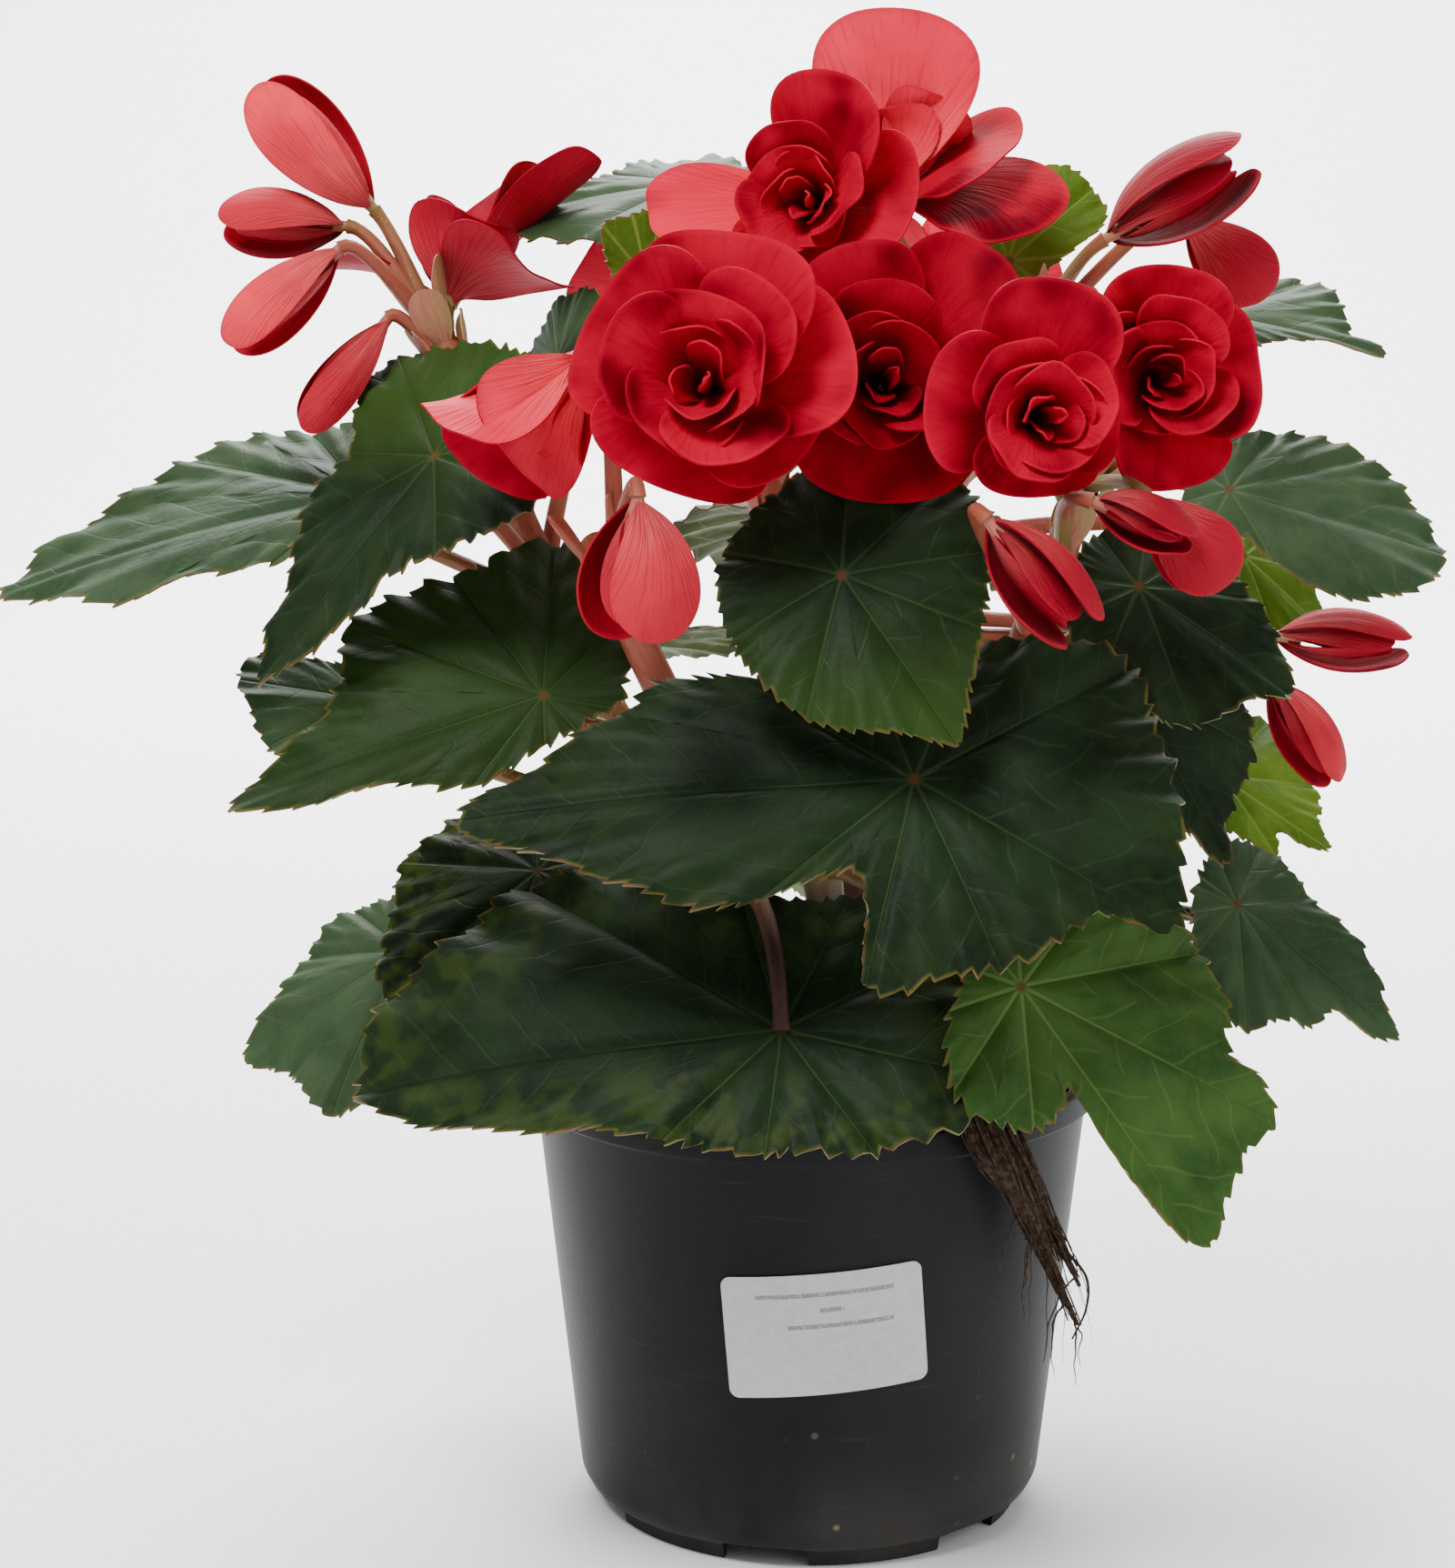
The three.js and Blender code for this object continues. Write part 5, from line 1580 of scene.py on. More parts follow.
@dataclass
class Pot:
    """The round nursery pot: a rolled rim, a straight wall, a notched foot and drain holes."""

    height: float = 102
    rim: float = 65
    neck: float = 63.4
    heel: float = 52.8
    heel_height: float = 8
    foot: float = 47.6
    wall: float = 1.5
    bead: float = 7
    floor: float = 6.5
    notches: int = 6
    notch_height: float = 5.2
    notch_width: float = 19
    notch_depth: float = 14
    notch_round: float = 1.2
    first_notch: float = -103
    drain_radius: float = 4
    drain_circle: float = 30
    pad: float = 7

    SIDES = 144

    def radius(self, height: float) -> float:
        """Returns the radius of the outer wall at a height."""
        share = (height - self.heel_height) / (self.height - self.heel_height)
        return mix(self.heel, self.neck, share)

    def profile(self) -> list[Pair]:
        """Returns the section of the wall, floor, foot and rim."""
        top, under = self.height, self.height - self.bead
        floor_top = self.floor + self.wall
        inside = self.foot - 2.4
        return rounded(
            [
                (0, 0, 0), (self.pad, 0, 0.6), (self.pad, self.floor, 0.6),
                (inside, self.floor, 0.8), (inside, 0, 0.5), (self.foot, 0, 0.5),
                (self.foot + 0.6, 3.2, 0.6), (self.heel - 1.6, 5, 1.2),
                (self.heel, self.heel_height, 1.2), (self.radius(under) - 0.05, under, 0.5),
                (self.rim - 0.05, under + 0.8, 0.6), (self.rim, top, 1.0),
                (self.radius(top) - self.wall, top, 0.7),
                (self.radius(self.heel_height + 1) - self.wall, self.heel_height + 1, 0.8),
                (self.radius(self.heel_height) - self.wall - 2, floor_top, 0.6), (0, floor_top, 0),
            ]
        )

    def cutter(self) -> Object:
        """Returns the notches of the foot and the drain holes, as one object that cuts the pot."""
        bm = bmesh.new()
        for i in range(self.notches):
            turn = Matrix.Rotation(math.radians(self.first_notch + 360 / self.notches * i), 4, "Z")
            size = Matrix.Diagonal((self.notch_depth, self.notch_width, 2 * self.notch_height, 1))
            notch = bmesh.ops.create_cube(
                bm, size=1, matrix=turn @ Matrix.Translation((self.foot + 1, 0, 0)) @ size
            )
            lids = dict.fromkeys(
                edge for vert in notch["verts"] for edge in vert.link_edges
                if all(end.co.z > 0 for end in edge.verts)
            )
            bmesh.ops.bevel(
                bm, geom=list(lids), offset=self.notch_round, segments=3, profile=0.5,
                material=-1, affect="EDGES",
            )
            bmesh.ops.create_cone(
                bm, cap_ends=True, segments=32, radius1=self.drain_radius,
                radius2=self.drain_radius, depth=8,
                matrix=turn @ Matrix.Translation((self.drain_circle, 0, self.floor + 0.5)),
            )
        return linked("Notches", to_mesh(bm, "Notches"))

    def build(self, skin: Material) -> Object:
        """Builds the pot.

        Args:
            skin: its finish.

        Returns:
            The finished pot.
        """
        piece = Piece("pot_shell", "pot", "pot", [skin], sharp=35, cutter=self.cutter())
        return piece.finish(spun(self.profile(), self.SIDES))


@dataclass
class Label:
    """The paper label, which lies on the cone of the pot's wall with a slight tilt."""

    pot: Pot
    width: float = 44
    height: float = 28
    centre: float = 57
    azimuth: float = -88
    tilt: float = 5
    corner: float = 2.2
    thickness: float = 0.2
    stand: float = 0.32

    CORNER_CELLS = 4
    CELLS = (40, 26)

    def build(self, skin: Material) -> Object:
        """Builds the label.

        Args:
            skin: its finish.

        Returns:
            The finished label.
        """
        half = Vector((self.width / 2, self.height / 2))
        turn = math.radians(self.tilt)

        def offset(index: int, cells: int, reach: float) -> float:
            """Returns how far a grid line lies from the label's middle line."""
            edge = min(index, cells - index)
            if edge <= self.CORNER_CELLS:
                far = reach - self.corner * edge / self.CORNER_CELLS
            else:
                inner = cells / 2 - self.CORNER_CELLS
                far = (reach - self.corner) * (cells / 2 - edge) / inner
            return far if 2 * index > cells else -far

        def spot(column: int, row: int) -> Spot:
            """Returns the point of a column and row, with the corners drawn in to a quarter disc."""
            place = Vector((offset(column, self.CELLS[0], half.x), offset(row, self.CELLS[1], half.y)))
            past = [abs(place[k]) - half[k] + self.corner for k in (0, 1)]
            if min(past) > 0:
                a, b = (value / self.corner for value in past)
                pulled = (a * math.sqrt(1 - b * b / 2), b * math.sqrt(1 - a * a / 2))
                for k in (0, 1):
                    far = half[k] - self.corner * (1 - pulled[k])
                    place[k] = math.copysign(far, place[k])
            height = self.centre + place.x * math.sin(turn) + place.y * math.cos(turn)
            radius = self.pot.radius(height) + self.stand
            arc = place.x * math.cos(turn) - place.y * math.sin(turn)
            angle = math.radians(self.azimuth) + arc / radius
            face = (place.x / self.width + 0.5, place.y / self.height + 0.5)
            where = Vector((radius * math.cos(angle), radius * math.sin(angle), height))
            return Spot(where, {"Face": face})

        bm = bmesh.new()
        lay_sheet(bm, *self.CELLS, spot)
        piece = Piece("label_paper", "label", "label", [skin, skin, skin], self.thickness)
        return piece.finish(bm)


@dataclass
class Soil:
    """Mounded, crumbly potting mix, filling the pot from its floor up."""

    pot: Pot
    top: float = 90
    mound: float = 5
    gap: float = 0.3
    crumbs: int = 420

    SEED = 5
    RINGS = 44
    SIDES = 150

    def surface(self, radius: float) -> float:
        """Returns the height of the smooth mound at a distance from the pot's axis."""
        side = self.pot.radius(self.top) - self.pot.wall - self.gap
        return self.top - 2 + (self.mound + 2) * math.sqrt(1 - (radius / side) ** 2)

    def build(self, skin: Material) -> Object:
        """Builds the soil.

        Args:
            skin: its finish.

        Returns:
            The finished soil.
        """
        dice = random.Random(self.SEED)
        wall = self.pot.wall + self.gap
        bottom = self.pot.floor + wall
        edge = self.pot.radius(self.top - 2) - wall
        profile = [
            (0, bottom), (self.pot.radius(self.pot.heel_height) - wall - 2.4, bottom),
            (self.pot.radius(10) - wall - 0.2, 10), (edge, self.top - 2),
        ]
        for ring in range(1, self.RINGS + 1):
            radius = edge * (1 - ring / self.RINGS)
            profile.append((radius, self.surface(radius)))
        bm = spun(profile, self.SIDES)
        for vert in bm.verts:
            flat = math.hypot(vert.co.x, vert.co.y)
            if vert.co.z > self.top - 3 and flat < edge - 0.1:
                rough = 1.5 * noise.noise(vert.co / 7) + 0.9 * noise.noise(vert.co / 2.6)
                vert.co.z += rough * ease(edge, edge - 3, flat)
        for _ in range(self.crumbs):
            flat, angle = (edge - 2) * math.sqrt(dice.random()), dice.uniform(0, math.tau)
            size = 0.5 + 1.3 * dice.random() ** 2
            spread = Vector((1, dice.uniform(0.7, 1), dice.uniform(0.5, 0.9))) * size
            at = Vector((flat * math.cos(angle), flat * math.sin(angle), self.surface(flat) + 0.3))
            lump = bmesh.ops.create_icosphere(bm, subdivisions=1, radius=1)["verts"]
            spin = Quaternion((dice.random(), dice.random(), dice.random()), dice.uniform(0, 3))
            for vert in lump:
                vert.co = at + spin @ (vert.co * spread)
        piece = Piece("soil_peat", "soil", "soil", [skin], sharp=180)
        return piece.finish(bm)


@dataclass
class DeadRoots:
    """A hank of dry roots that hangs over the rim and frays out at its end.

    A strand is its azimuth, its drift to the side, the height of its end and its radius.
    """

    pot: Pot
    strands: tuple[tuple[float, float, float, float], ...] = (
        (-60, 25, 54, 3.4), (-56, 22, 62, 2.8), (-63, 22, 68, 2.2),
    )
    branch: tuple[Triple, ...] = (
        (49, -38, 77), (55, -37, 69), (60, -36, 62), (60, -36, 55), (57, -36, 48),
    )
    fibres: tuple[int, ...] = (44, 32, 24)
    wisps: int = 16
    start: float = 90

    SEED = 11
    FIBRE_STEPS = 24
    CORE_CELLS = (12, 50)
    FIBRE_CELLS = (5, 22)
    WISP_CELLS = (5, 18)
    BRANCH_CELLS = (6, 24)

    def strand(self, azimuth: float, drift: float, end: float, radius: float) -> Path:
        """Leads one strand from the soil over the rim and down the wall.

        Args:
            azimuth: where it crosses the rim, in degrees.
            drift: how far it moves to the side on its way down.
            end: the height of its end.
            radius: its radius.

        Returns:
            The middle of the strand.
        """
        angle = math.radians(azimuth)
        clear = radius + 2.2
        middle = (self.pot.height + end) / 2

        def at(distance: float, height: float, shift: float) -> Triple:
            """Returns a point by its distance from the pot's axis and its shift to the side."""
            return (
                distance * math.cos(angle) - shift * math.sin(angle),
                distance * math.sin(angle) + shift * math.cos(angle),
                height,
            )

        return Path.through(
            [
                at(44, self.start - 4, 0),
                at(52, self.start + 8, 0),
                at(self.pot.neck, self.pot.height + clear + 1, 1),
                at(self.pot.rim + clear + 0.6, self.pot.height - 4, 3),
                at(self.pot.radius(middle) + clear + 0.5, middle, 3 + drift / 2),
                at(self.pot.radius(end) + clear + 2.5, end, 3 + drift),
            ]
        )

    def fibre(self, core: Path, radius: float, dice: random.Random) -> Path:
        """Winds one fibre round a strand, and away from it near the end.

        Args:
            core: the middle of the strand.
            radius: the strand's radius.
            dice: the source of the differences between fibres.

        Returns:
            The middle of the fibre.
        """
        turn, spin = dice.uniform(0, math.tau), dice.uniform(-2, 2)
        size = radius * dice.uniform(0.35, 1.0)
        first, last = dice.uniform(0, 0.25), dice.uniform(0.75, 1.0)
        seed = dice.uniform(0, 90)
        points = []
        for step in range(self.FIBRE_STEPS + 1):
            share = mix(first, last, step / self.FIBRE_STEPS)
            angle = turn + spin * share
            taper = 1 - 0.55 * ease(0.6, 1.0, share)
            sway = Vector((math.cos(angle), math.sin(angle), 0.25 * math.sin(2 * angle)))
            wander = noise.noise_vector(Vector((7 * share, seed, 0))) * 0.9
            points.append(core.at(share) + sway * size * taper + wander)
        return Path(points)

    def wisp(self, core: Path, dice: random.Random) -> Path:
        """Bends one fine root that frays out sideways and down.

        Args:
            core: the middle of the strand that it leaves.
            dice: the source of the differences between roots.

        Returns:
            The middle of the root.
        """
        root = core.at(dice.uniform(0.7, 1.0))
        aside = dice.uniform(-9, 15)
        drop = dice.uniform(8, 24)
        knee = root + Vector((0.7 * aside, 0.35 * aside, -0.25 * drop))
        knee += Vector((dice.uniform(-1, 3), dice.uniform(-3, 0), 0))
        end = knee + Vector((dice.uniform(-0.2, 0.45) * aside, dice.uniform(-1, 1), -0.75 * drop))
        bow = Path.bezier(root, root.lerp(knee, 0.6) + Vector((0, 0, 1)), knee, end)
        seed = dice.uniform(0, 90)
        sway = [noise.noise_vector(Vector((i / 5, seed, 0))) * 0.9 for i in range(len(bow.points))]
        return Path([point + move for point, move in zip(bow.points, sway)])

    def build(self, skin: Material) -> Object:
        """Builds the hank of roots.

        Args:
            skin: its finish.

        Returns:
            The finished roots.
        """
        dice = random.Random(self.SEED)
        noise.seed_set(self.SEED)
        bm = bmesh.new()
        for shape, fibres in zip(self.strands, self.fibres):
            core, radius = self.strand(*shape), shape[3]

            def body(share: float, radius: float = radius) -> float:
                """Returns the radius of the matted middle of the strand."""
                rough = 1 + 0.25 * noise.noise(Vector((30 * share, radius, 0)))
                return 0.66 * radius * (1 - 0.75 * ease(0.6, 1.0, share)) * rough

            lay_tube(bm, core, body, *self.CORE_CELLS)
            for _ in range(fibres):
                thick = dice.uniform(0.16, 0.55)
                path = self.fibre(core, radius, dice)
                lay_tube(bm, path, lambda share, t=thick: t * (1 - 0.6 * share), *self.FIBRE_CELLS)
        for _ in range(self.wisps):
            core = self.strand(*dice.choice(self.strands))
            thick = dice.uniform(0.14, 0.32)
            path = self.wisp(core, dice)
            lay_tube(bm, path, lambda share, t=thick: t * (1 - 0.75 * share), *self.WISP_CELLS)
        branch = Path.through(self.branch)
        lay_tube(bm, branch, lambda share: 0.55 - 0.35 * share, *self.BRANCH_CELLS)
        piece = Piece("dead_root_hank", "dead_roots", "dead_root", [skin], sharp=180)
        return piece.finish(bm)


# ---- studio


@dataclass
class Studio:
    """The pale floor with its curved backdrop, the soft lights and the camera."""

    camera: Triple = (-0.019, -0.760, 0.299)
    pitch: float = -9.92
    lens: float = 78.72
    sensor: float = 36
    middle: Triple = (0.0, 0.0, 0.18)
    lights: tuple[tuple[str, Triple, Triple, float, float], ...] = (
        ("Key", (-0.42, -0.62, 1.2), middle, 0.5, 22.5),
        ("Fill", (0.85, -0.55, 0.55), middle, 0.9, 5.0),
        ("Back", (0.15, 0.75, 0.95), middle, 0.8, 3.0),
        ("Wash", (0.0, 1.5, 1.5), (0.0, 1.7, 0.0), 1.8, 150.0),
    )
    world: Triple = (0.9, 0.89, 0.87)
    world_strength: float = 0.52
    floor_half: float = 3.2
    floor_front: float = -2.4
    floor_run: float = 6.4
    floor_straight: float = 1.6
    floor_bend: float = 0.9

    FLOOR_SHADES = ((0.83, 0.84, 0.85), (0.87, 0.88, 0.89))
    FLOOR_COLUMNS = 4
    FLOOR_ROWS = 48

    def build(self) -> None:
        """Puts up the floor, lights and camera."""
        self.lay_floor()
        for name, place, target, size, power in self.lights:
            data = bpy.data.lights.new(name, "AREA")
            data.shape = "DISK"
            data.size = size
            data.energy = power
            lamp = linked(name, data)
            lamp.location = place
            lamp.rotation_euler = (Vector(place) - Vector(target)).to_track_quat("Z", "Y").to_euler()
        world = bpy.data.worlds.new("Pale")
        world.use_nodes = True
        sky = world.node_tree.nodes["Background"]
        sky.inputs["Color"].default_value = (*self.world, 1)
        sky.inputs["Strength"].default_value = self.world_strength
        bpy.context.scene.world = world
        data = bpy.data.cameras.new("Camera")
        data.lens = self.lens
        data.sensor_width = self.sensor
        data.sensor_fit = "AUTO"
        camera = linked("Camera", data)
        camera.location = self.camera
        camera.rotation_euler = (math.radians(90 + self.pitch), 0, 0)
        bpy.context.scene.camera = camera

    def lay_floor(self) -> None:
        """Lays the floor, which turns up into a wall far behind."""
        bm = bmesh.new()
        bend = self.floor_bend

        def spot(column: int, row: int) -> Spot:
            """Returns a point of the floor, the bend or the wall."""
            share = (column / self.FLOOR_COLUMNS, row / self.FLOOR_ROWS)
            run = share[1] * self.floor_run + self.floor_front
            past = max(0.0, run - self.floor_straight)
            angle = min(past / bend, math.pi / 2)
            wall = max(0.0, past - bend * math.pi / 2)
            x = self.floor_half * (2 * share[0] - 1)
            y = min(run, self.floor_straight) + bend * math.sin(angle)
            z = bend * (1 - math.cos(angle)) + wall
            return Spot(Vector((x, y, z)), {"Run": share})

        lay_sheet(bm, self.FLOOR_COLUMNS, self.FLOOR_ROWS, spot)
        mesh = to_mesh(bm, "Floor", 1)
        wiring = Wiring("Studio_floor", 0.85)
        colour = wiring.blend(wiring.clouds(6, 2), *self.FLOOR_SHADES)
        mesh.materials.append(wiring.finish(colour))
        floor = linked("Floor", mesh)
        floor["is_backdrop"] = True


# ---- the plant

ROUND_OUTLINE = [
    (-180, 10), (-166, 46), (-136, 57), (-100, 58), (-68, 64), (-38, 74), (-15, 90), (0, 100), (18, 92),
    (44, 79), (76, 76), (108, 76), (142, 67), (167, 50), (180, 10),
]
LOBED_OUTLINE = [
    (-180, 10), (-167, 44), (-144, 54), (-118, 48), (-94, 58), (-68, 52), (-44, 66), (-20, 76), (0, 100),
    (20, 78), (44, 72), (66, 62), (92, 72), (124, 60), (148, 62), (167, 46), (180, 10),
]

LEAVES = [
    Leaf(
        "leaf_front_large", Tone.DARK, "stem_front", 0.55, (18, -92, 183), (-74, -82, 174),
        (0, -0.75, 0.66), 14, (22, 8),
        [(-180, 56), (-164, 55), (-147, 58), (-130, 49), (-106, 35), (-80, 30), (-54, 35), (-38, 46),
         (-29, 59), (-20, 66), (-10, 80), (0, 100), (6, 88), (13, 75), (21, 64), (33, 52), (42, 36),
         (58, 25), (70, 32), (76, 48), (96, 45), (120, 47), (143, 50), (148, 64), (162, 59), (180, 56)],
    ),
    Leaf(
        "leaf_centre", Tone.DARK, "stem_centre", 0.72, (3.5, -87, 223), (25.5, -103, 192),
        (0, -0.85, 0.5), 16, (10, 10),
        [(-180, 58), (-162, 57), (-140, 60), (-116, 60), (-92, 62), (-66, 67), (-40, 76), (-20, 82),
         (-10, 88), (0, 100), (14, 84), (36, 72), (64, 72), (88, 78), (106, 82), (124, 82), (144, 78),
         (163, 67), (180, 58)],
        # painted light: lighter lower down
        painted_light=(222, 184),
    ),
    Leaf(
        "leaf_left_middle", Tone.DARK, "stem_front", 0.66, (-57, -60, 195), (-122, -66, 173),
        (-0.2, -0.75, 0.6), 14, (14, 10),
        [(-180, 26), (-164, 34), (-140, 42), (-124, 52), (-108, 63), (-84, 55), (-62, 62), (-44, 69),
         (-28, 63), (-16, 68), (-7, 84), (0, 100), (6, 84), (11, 64), (18, 50), (28, 43), (40, 35),
         (60, 22), (84, 16), (134, 17), (162, 24), (180, 26)],
        # painted light: lighter higher up
        painted_light=(90, 320),
    ),
    Leaf(
        "leaf_left_folded", Tone.DARK, "stem_left", 0.6, (-80, -44, 243), (-115, -58, 196),
        (-0.55, -0.6, 0.6), 18, (10, 8),
        [(-180, 50), (-158, 55), (-134, 65), (-114, 75), (-100, 68), (-84, 51), (-62, 47), (-48, 55),
         (-34, 62), (-18, 68), (-8, 84), (0, 100), (8, 82), (16, 68), (24, 52), (46, 46), (70, 48),
         (98, 55), (118, 47), (160, 43), (180, 50)],
        # painted light: lighter at the top
        painted_light=(232, 258),
    ),
    Leaf(
        "leaf_left_far", Tone.MID, "stem_left", 0.62, (-100, 0, 231), (-179, -6, 208), (-0.1, -0.5, 0.86),
        22, (10, 8),
        [(-180, 14), (-150, 20), (-120, 27), (-96, 36), (-74, 40), (-52, 50), (-36, 58), (-22, 72),
         (-12, 90), (0, 100), (6, 88), (12, 80), (18, 70), (24, 50), (44, 30), (72, 23), (104, 20),
         (140, 16), (180, 14)],
    ),
    Leaf(
        "leaf_left_small", Tone.MID, "stem_left", 0.34, (-100, 12, 183), (-130, 10, 188),
        (-0.2, -0.6, 0.75), 10, (8, 8),
        [(-180, 30), (-142, 34), (-90, 36), (-54, 40), (-32, 62), (-20, 96), (0, 100), (14, 92), (34, 90),
         (52, 86), (74, 70), (104, 56), (146, 40), (180, 30)],
    ),
    Leaf(
        "leaf_high_left", Tone.MID, "stem_centre", 0.86, (-28, 32, 299), (-70, 25, 292),
        (-0.05, -0.3, 0.95), 16, (12, 10),
        [(-180, 20), (-150, 50), (-122, 72), (-98, 90), (-78, 60), (-50, 52), (-20, 56), (-6, 74),
         (0, 94), (14, 100), (28, 98), (40, 90), (56, 70), (82, 50), (120, 34), (180, 20)],
    ),
    Leaf(
        "leaf_young", Tone.YOUNG, "stem_centre", 0.82, (-37, -6, 279), (-46, -12, 290), (0, -0.85, 0.5),
        10, (8, 8),
        [(-180, 30), (-146, 40), (-112, 50), (-90, 86), (-64, 98), (-28, 90), (0, 100), (20, 74),
         (48, 50), (100, 40), (180, 30)],
    ),
    Leaf(
        "leaf_behind_left", Tone.MID, "stem_left", 0.7, (-57, 17, 260), (-48, 12, 275), (0, -0.5, 0.87),
        10, (8, 8),
        [(-180, 30), (-148, 46), (-90, 52), (-50, 56), (-20, 80), (0, 100), (34, 88), (62, 94), (84, 96),
         (108, 106), (138, 76), (180, 30)],
    ),
    Leaf(
        "leaf_high_right", Tone.YOUNG, "stem_back", 0.84, (44, 14, 282), (62, 12, 298), (0.1, -0.75, 0.6),
        10, (8, 8),
        [(-180, 20), (-150, 26), (-64, 34), (-34, 60), (-18, 98), (0, 100), (16, 102), (34, 96), (56, 88),
         (86, 76), (128, 52), (180, 20)],
    ),
    Leaf(
        "leaf_right_high", Tone.MID, "stem_back", 0.76, (91, 12, 270), (127, 6, 262), (0.1, -0.5, 0.85),
        14, (8, 8),
        [(-180, 28), (-122, 40), (-92, 46), (-56, 36), (-26, 40), (-8, 62), (0, 100), (10, 80), (32, 80),
         (54, 82), (72, 64), (92, 48), (130, 36), (180, 28)],
    ),
    Leaf(
        "leaf_right_big", Tone.MID, "stem_back", 0.68, (91, -8, 233), (137, -17, 219), (0.25, -0.7, 0.65),
        16, (12, 12),
        [(-180, 20), (-146, 22), (-96, 22), (-62, 28), (-46, 48), (-36, 70), (-24, 86), (-12, 98),
         (0, 100), (10, 92), (24, 80), (42, 68), (62, 56), (86, 42), (112, 32), (146, 24), (180, 20)],
    ),
    Leaf(
        "leaf_right_pale", Tone.YOUNG, "stem_back", 0.5, (98, 16, 216), (117, 16, 199), (0.3, -0.6, 0.7),
        10, (8, 8),
        [(-180, 28), (-146, 36), (-102, 60), (-74, 78), (-44, 80), (-16, 90), (0, 100), (16, 88),
         (34, 68), (60, 46), (110, 34), (180, 28)],
    ),
    Leaf(
        "leaf_right_dark", Tone.DARK, "stem_right", 0.7, (66, -54, 217), (97, -64, 196),
        (0.35, -0.75, 0.5), 12, (10, 10),
        [(-180, 38), (-126, 46), (-88, 58), (-62, 74), (-40, 86), (-12, 88), (0, 100), (18, 80), (40, 62),
         (84, 48), (126, 44), (180, 38)],
    ),
    Leaf(
        "leaf_right_shadow", Tone.DARK, "stem_right", 0.5, (65, -42, 197), (86, -48, 157),
        (0.4, -0.75, 0.5), 12, (10, 10),
        [(-180, 28), (-150, 30), (-90, 42), (-54, 50), (-24, 62), (-8, 82), (0, 100), (8, 86), (20, 80),
         (34, 80), (46, 74), (60, 68), (92, 54), (130, 32), (180, 28)],
    ),
    Leaf(
        "leaf_right_yellow", Tone.YOUNG, "stem_back", 0.38, (95, 20, 164), (121, 20, 146),
        (0.35, -0.6, 0.7), 10, (8, 8),
        [(-180, 26), (-140, 28), (-98, 32), (-56, 50), (-30, 70), (-14, 58), (0, 96), (12, 82), (26, 90),
         (54, 96), (78, 100), (96, 84), (120, 60), (180, 26)],
    ),
    Leaf(
        "leaf_right_low", Tone.MID, "stem_right", 0.42, (93, -22, 143), (129, -28, 115),
        (0.3, -0.7, 0.65), 14, (10, 10),
        [(-180, 22), (-132, 24), (-94, 38), (-74, 54), (-56, 66), (-42, 61), (-26, 69), (-14, 68),
         (-7, 88), (0, 100), (8, 84), (20, 68), (44, 46), (72, 40), (98, 42), (128, 36), (156, 26),
         (180, 22)],
    ),
    Leaf(
        "leaf_front_right", Tone.BRIGHT, "stem_centre", 0.42, (40, -88, 140), (76, -98, 89),
        (0.15, -0.85, 0.5), 16, (8, 8),
        [(-180, 15), (-150, 16), (-124, 20), (-100, 27), (-80, 36), (-62, 44), (-46, 45), (-32, 46),
         (-20, 42), (-11, 36), (-8, 62), (-4, 88), (0, 100), (9, 96), (20, 92), (29, 96), (36, 86),
         (38, 72), (46, 71), (60, 67), (80, 60), (96, 48), (112, 35), (130, 18), (180, 15)],
    ),
    Leaf(
        "leaf_front_low", Tone.DARK, "stem_front", 0.5, (-8, -84, 130), (-98, -66, 113), (0, -0.72, 0.7),
        14, (16, 6),
        [(-180, 46), (-160, 44), (-138, 42), (-116, 38), (-104, 35), (-93, 34), (-82, 38), (-66, 46),
         (-52, 60), (-40, 75), (-24, 82), (-11, 96), (0, 100), (6, 88), (12, 73), (18, 60), (26, 46),
         (38, 37), (54, 32), (76, 30), (98, 29), (116, 34), (134, 39), (150, 47), (164, 48), (180, 46)],
        via=(-9, -80, 156), patches=0.2,
    ),
    Leaf(
        "leaf_left_low", Tone.DARK, "stem_front", 0.34, (-60, -34, 153), (-92, -44, 127),
        (-0.5, -0.65, 0.55), 12, (12, 10),
        [(-180, 36), (-138, 48), (-106, 66), (-84, 80), (-72, 75), (-56, 85), (-40, 83), (-20, 88),
         (0, 100), (16, 88), (42, 70), (70, 56), (108, 43), (180, 36)],
        patches=0.5,
    ),
    Leaf(
        "leaf_left_pale", Tone.MID, "stem_left", 0.22, (-91, -12, 130), (-127, -18, 108),
        (-0.3, -0.6, 0.75), 14, (12, 10),
        [(-180, 30), (-150, 34), (-114, 41), (-84, 48), (-64, 55), (-38, 60), (-14, 74), (0, 100),
         (12, 92), (22, 88), (32, 94), (42, 100), (54, 88), (70, 68), (98, 54), (146, 34), (180, 30)],
    ),
    Leaf(
        "leaf_back_left_low", Tone.MID, "stem_left", 0.26, (-48, 56, 130), (-90, 90, 98),
        (-0.4, 0.5, 0.75), 18, (12, 12), ROUND_OUTLINE,
    ),
    Leaf(
        "leaf_back_low", Tone.DARK, "stem_back", 0.22, (6, 74, 150), (2, 128, 116), (0.05, 0.65, 0.75),
        18, (12, 12), LOBED_OUTLINE,
    ),
    Leaf(
        "leaf_back_right_low", Tone.MID, "stem_back", 0.3, (56, 54, 134), (88, 98, 104), (0.45, 0.5, 0.7),
        18, (12, 12), ROUND_OUTLINE,
    ),
    Leaf(
        "leaf_back_left_high", Tone.DARK, "stem_left", 0.52, (-48, 46, 192), (-92, 88, 164),
        (-0.4, 0.45, 0.8), 20, (12, 12), LOBED_OUTLINE,
    ),
    Leaf(
        "leaf_back_middle", Tone.DARK, "stem_back", 0.5, (10, 70, 222), (22, 122, 196), (0.05, 0.6, 0.8),
        20, (12, 12), ROUND_OUTLINE,
    ),
    Leaf(
        "leaf_back_right_high", Tone.DARK, "stem_back", 0.42, (78, 56, 205), (114, 94, 181),
        (0.45, 0.45, 0.8), 20, (12, 12), LOBED_OUTLINE,
    ),
]

